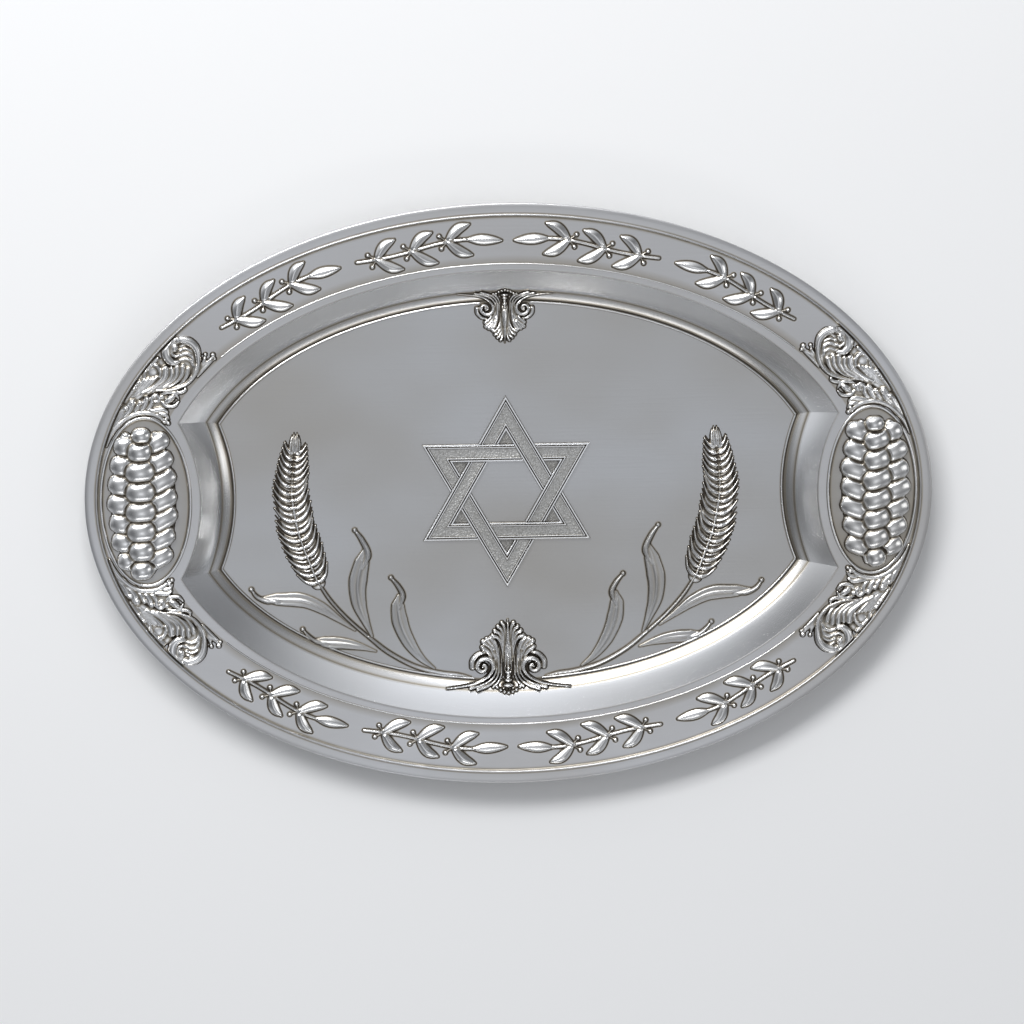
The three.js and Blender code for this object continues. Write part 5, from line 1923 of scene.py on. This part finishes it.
@dataclass
class Studio:
    """A pale floor, a soft world, plain lamps and the camera at the photograph's angle."""

    tilt: float = 9.0
    swing: float = -3.0
    roll: float = 0.55
    distance: float = 2.3
    view_width: float = 0.5553
    target: Point = (0.00075, -0.0089)
    sensor: float = 36.0
    dimness: float = 0.045
    glows: tuple[tuple[Triple, float, float], ...] = (
        ((0.05, -0.17, 0.98), 6.0, 0.40), ((0.05, -0.28, 0.96), 60.0, 0.58), ((-0.35, 0.66, 0.66), 9.0, 0.75),
        ((0.15, 0.95, 0.28), 8.0, 0.75), ((0.75, -0.05, 0.66), 16.0, 0.22), ((0.0, -0.78, 0.62), 14.0, 0.22),
        ((-0.90, 0.25, 0.30), 16.0, 0.60), ((0.90, 0.30, 0.25), 16.0, 0.22), ((0.0, -0.98, 0.16), 10.0, 0.26),
        ((0.70, -0.64, 0.26), 18.0, 0.42), ((-0.72, -0.62, 0.26), 18.0, 0.42))

    def build(self) -> None:
        """Set up the stage."""
        self.build_floor()
        self.build_world()
        self.build_lamps()
        self.build_camera()
        bpy.context.scene.view_settings.view_transform = "Standard"

    def build_floor(self) -> None:
        """Make the pale floor that the plate stands on."""
        bpy.ops.mesh.primitive_plane_add(size=6, location=(0, 0, -0.0003))
        floor = bpy.context.active_object
        floor.name = "pale_floor"
        material = bpy.data.materials.new("pale_floor")
        material.use_nodes = True
        shader = material.node_tree.nodes["Principled BSDF"]
        shader.inputs["Base Color"].default_value = (0.90, 0.905, 0.91, 1)
        shader.inputs["Roughness"].default_value = 0.8
        floor.data.materials.append(material)

    def build_world(self) -> None:
        """Light the world with a few soft glows, dim between them and near the horizon."""
        world = bpy.data.worlds.new("soft_studio")
        bpy.context.scene.world = world
        world.use_nodes = True
        tree = world.node_tree
        back = tree.nodes["Background"]
        shading = Shading(tree, tree.nodes.new("ShaderNodeTexCoord").outputs["Generated"])
        total: object = self.dimness
        for aim, sharpness, strength in self.glows:
            total = shading.math("ADD", total, self.glow(shading, aim, sharpness, strength))
        back.inputs["Color"].default_value = (0.97, 0.99, 1.03, 1)
        tree.links.new(total, back.inputs["Strength"])

    def glow(self, shading: Shading, aim: Triple, sharpness: float, strength: float) -> object:
        """Add one soft glow in the world and give back its value.

        Args:
            shading: The world's nodes, whose place is the direction looked in.
            aim: The direction of the glow's middle.
            sharpness: How fast it falls off.
            strength: Its value in its middle.

        Returns:
            The output socket of its value.
        """
        dot = shading.tree.nodes.new("ShaderNodeVectorMath")
        dot.operation = "DOT_PRODUCT"
        shading.tree.links.new(shading.place, dot.inputs[0])
        dot.inputs[1].default_value = Vector(aim).normalized()
        above = shading.math("MAXIMUM", dot.outputs["Value"], 0.0001)
        return shading.math("MULTIPLY", shading.math("POWER", above, sharpness), strength)

    def build_lamps(self) -> None:
        """Hang the soft lamps."""
        self._lamp("key", (-0.5, 1.25, 1.35), (1.4, 0.5), 26.0)
        self._lamp("fill", (1.5, 0.1, 1.2), (0.5, 0.9), 1.7)
        self._lamp("low_front", (0.1, -1.5, 0.95), (1.4, 0.3), 2.5)

    def _lamp(self, name: str, place: Triple, size: Point, power: float) -> None:
        """Add one area lamp aimed at the plate.

        Args:
            name: Its name.
            place: Its place, in metres.
            size: Its width and height, in metres.
            power: Its power, in watts.
        """
        light = bpy.data.lights.new(name, "AREA")
        light.shape = "RECTANGLE"
        light.size = size[0]
        light.size_y = size[1]
        light.energy = power
        lamp = bpy.data.objects.new(name, light)
        lamp.location = place
        lamp.rotation_euler = (-Vector(place)).to_track_quat("-Z", "Y").to_euler()
        bpy.context.scene.collection.objects.link(lamp)

    def build_camera(self) -> None:
        """Place the camera above the plate, leaning towards its upper edge."""
        tilt = math.radians(self.tilt)
        swing = math.radians(self.swing)
        toward = Vector((math.sin(swing), math.sin(tilt) * math.cos(swing), math.cos(tilt) * math.cos(swing)))
        target = Vector((self.target[0], self.target[1], LEVELS.rim * MM))
        data = bpy.data.cameras.new("view")
        data.sensor_width = self.sensor
        data.lens = self.sensor * self.distance / self.view_width
        camera = bpy.data.objects.new("view", data)
        backward = toward.normalized()
        up = Vector((0, 1, 0)) - backward * backward.y
        up.normalize()
        right = up.cross(backward)
        turn = math.radians(-self.roll)
        rolled_right = right * math.cos(turn) + up * math.sin(turn)
        rolled_up = up * math.cos(turn) - right * math.sin(turn)
        place = target + toward * self.distance
        rows = [[rolled_right[i], rolled_up[i], backward[i], place[i]] for i in range(3)]
        camera.matrix_world = Matrix((*rows, (0, 0, 0, 1)))
        bpy.context.scene.collection.objects.link(camera)
        bpy.context.scene.camera = camera


def main() -> None:
    """Build the plate and its stage in order."""
    logging.basicConfig(level=logging.INFO, format="%(name)s: %(message)s")
    Studio().build()
    finishes = Finishes()
    sheet = PlateSheet(finishes)
    sheet.build()
    for side in Side:
        Medallion(finishes, side).build()
        WheatSpray(finishes, side).build()
        for edge in Edge:
            CornerScroll(finishes, sheet, side, edge).build()
    for edge in Edge:
        Palmette(finishes, sheet, edge).build()
        for index in range(1, 5):
            RimSprig(finishes, sheet, edge, index).build()
    Star(finishes).build()


if __name__ == "__main__":
    main()
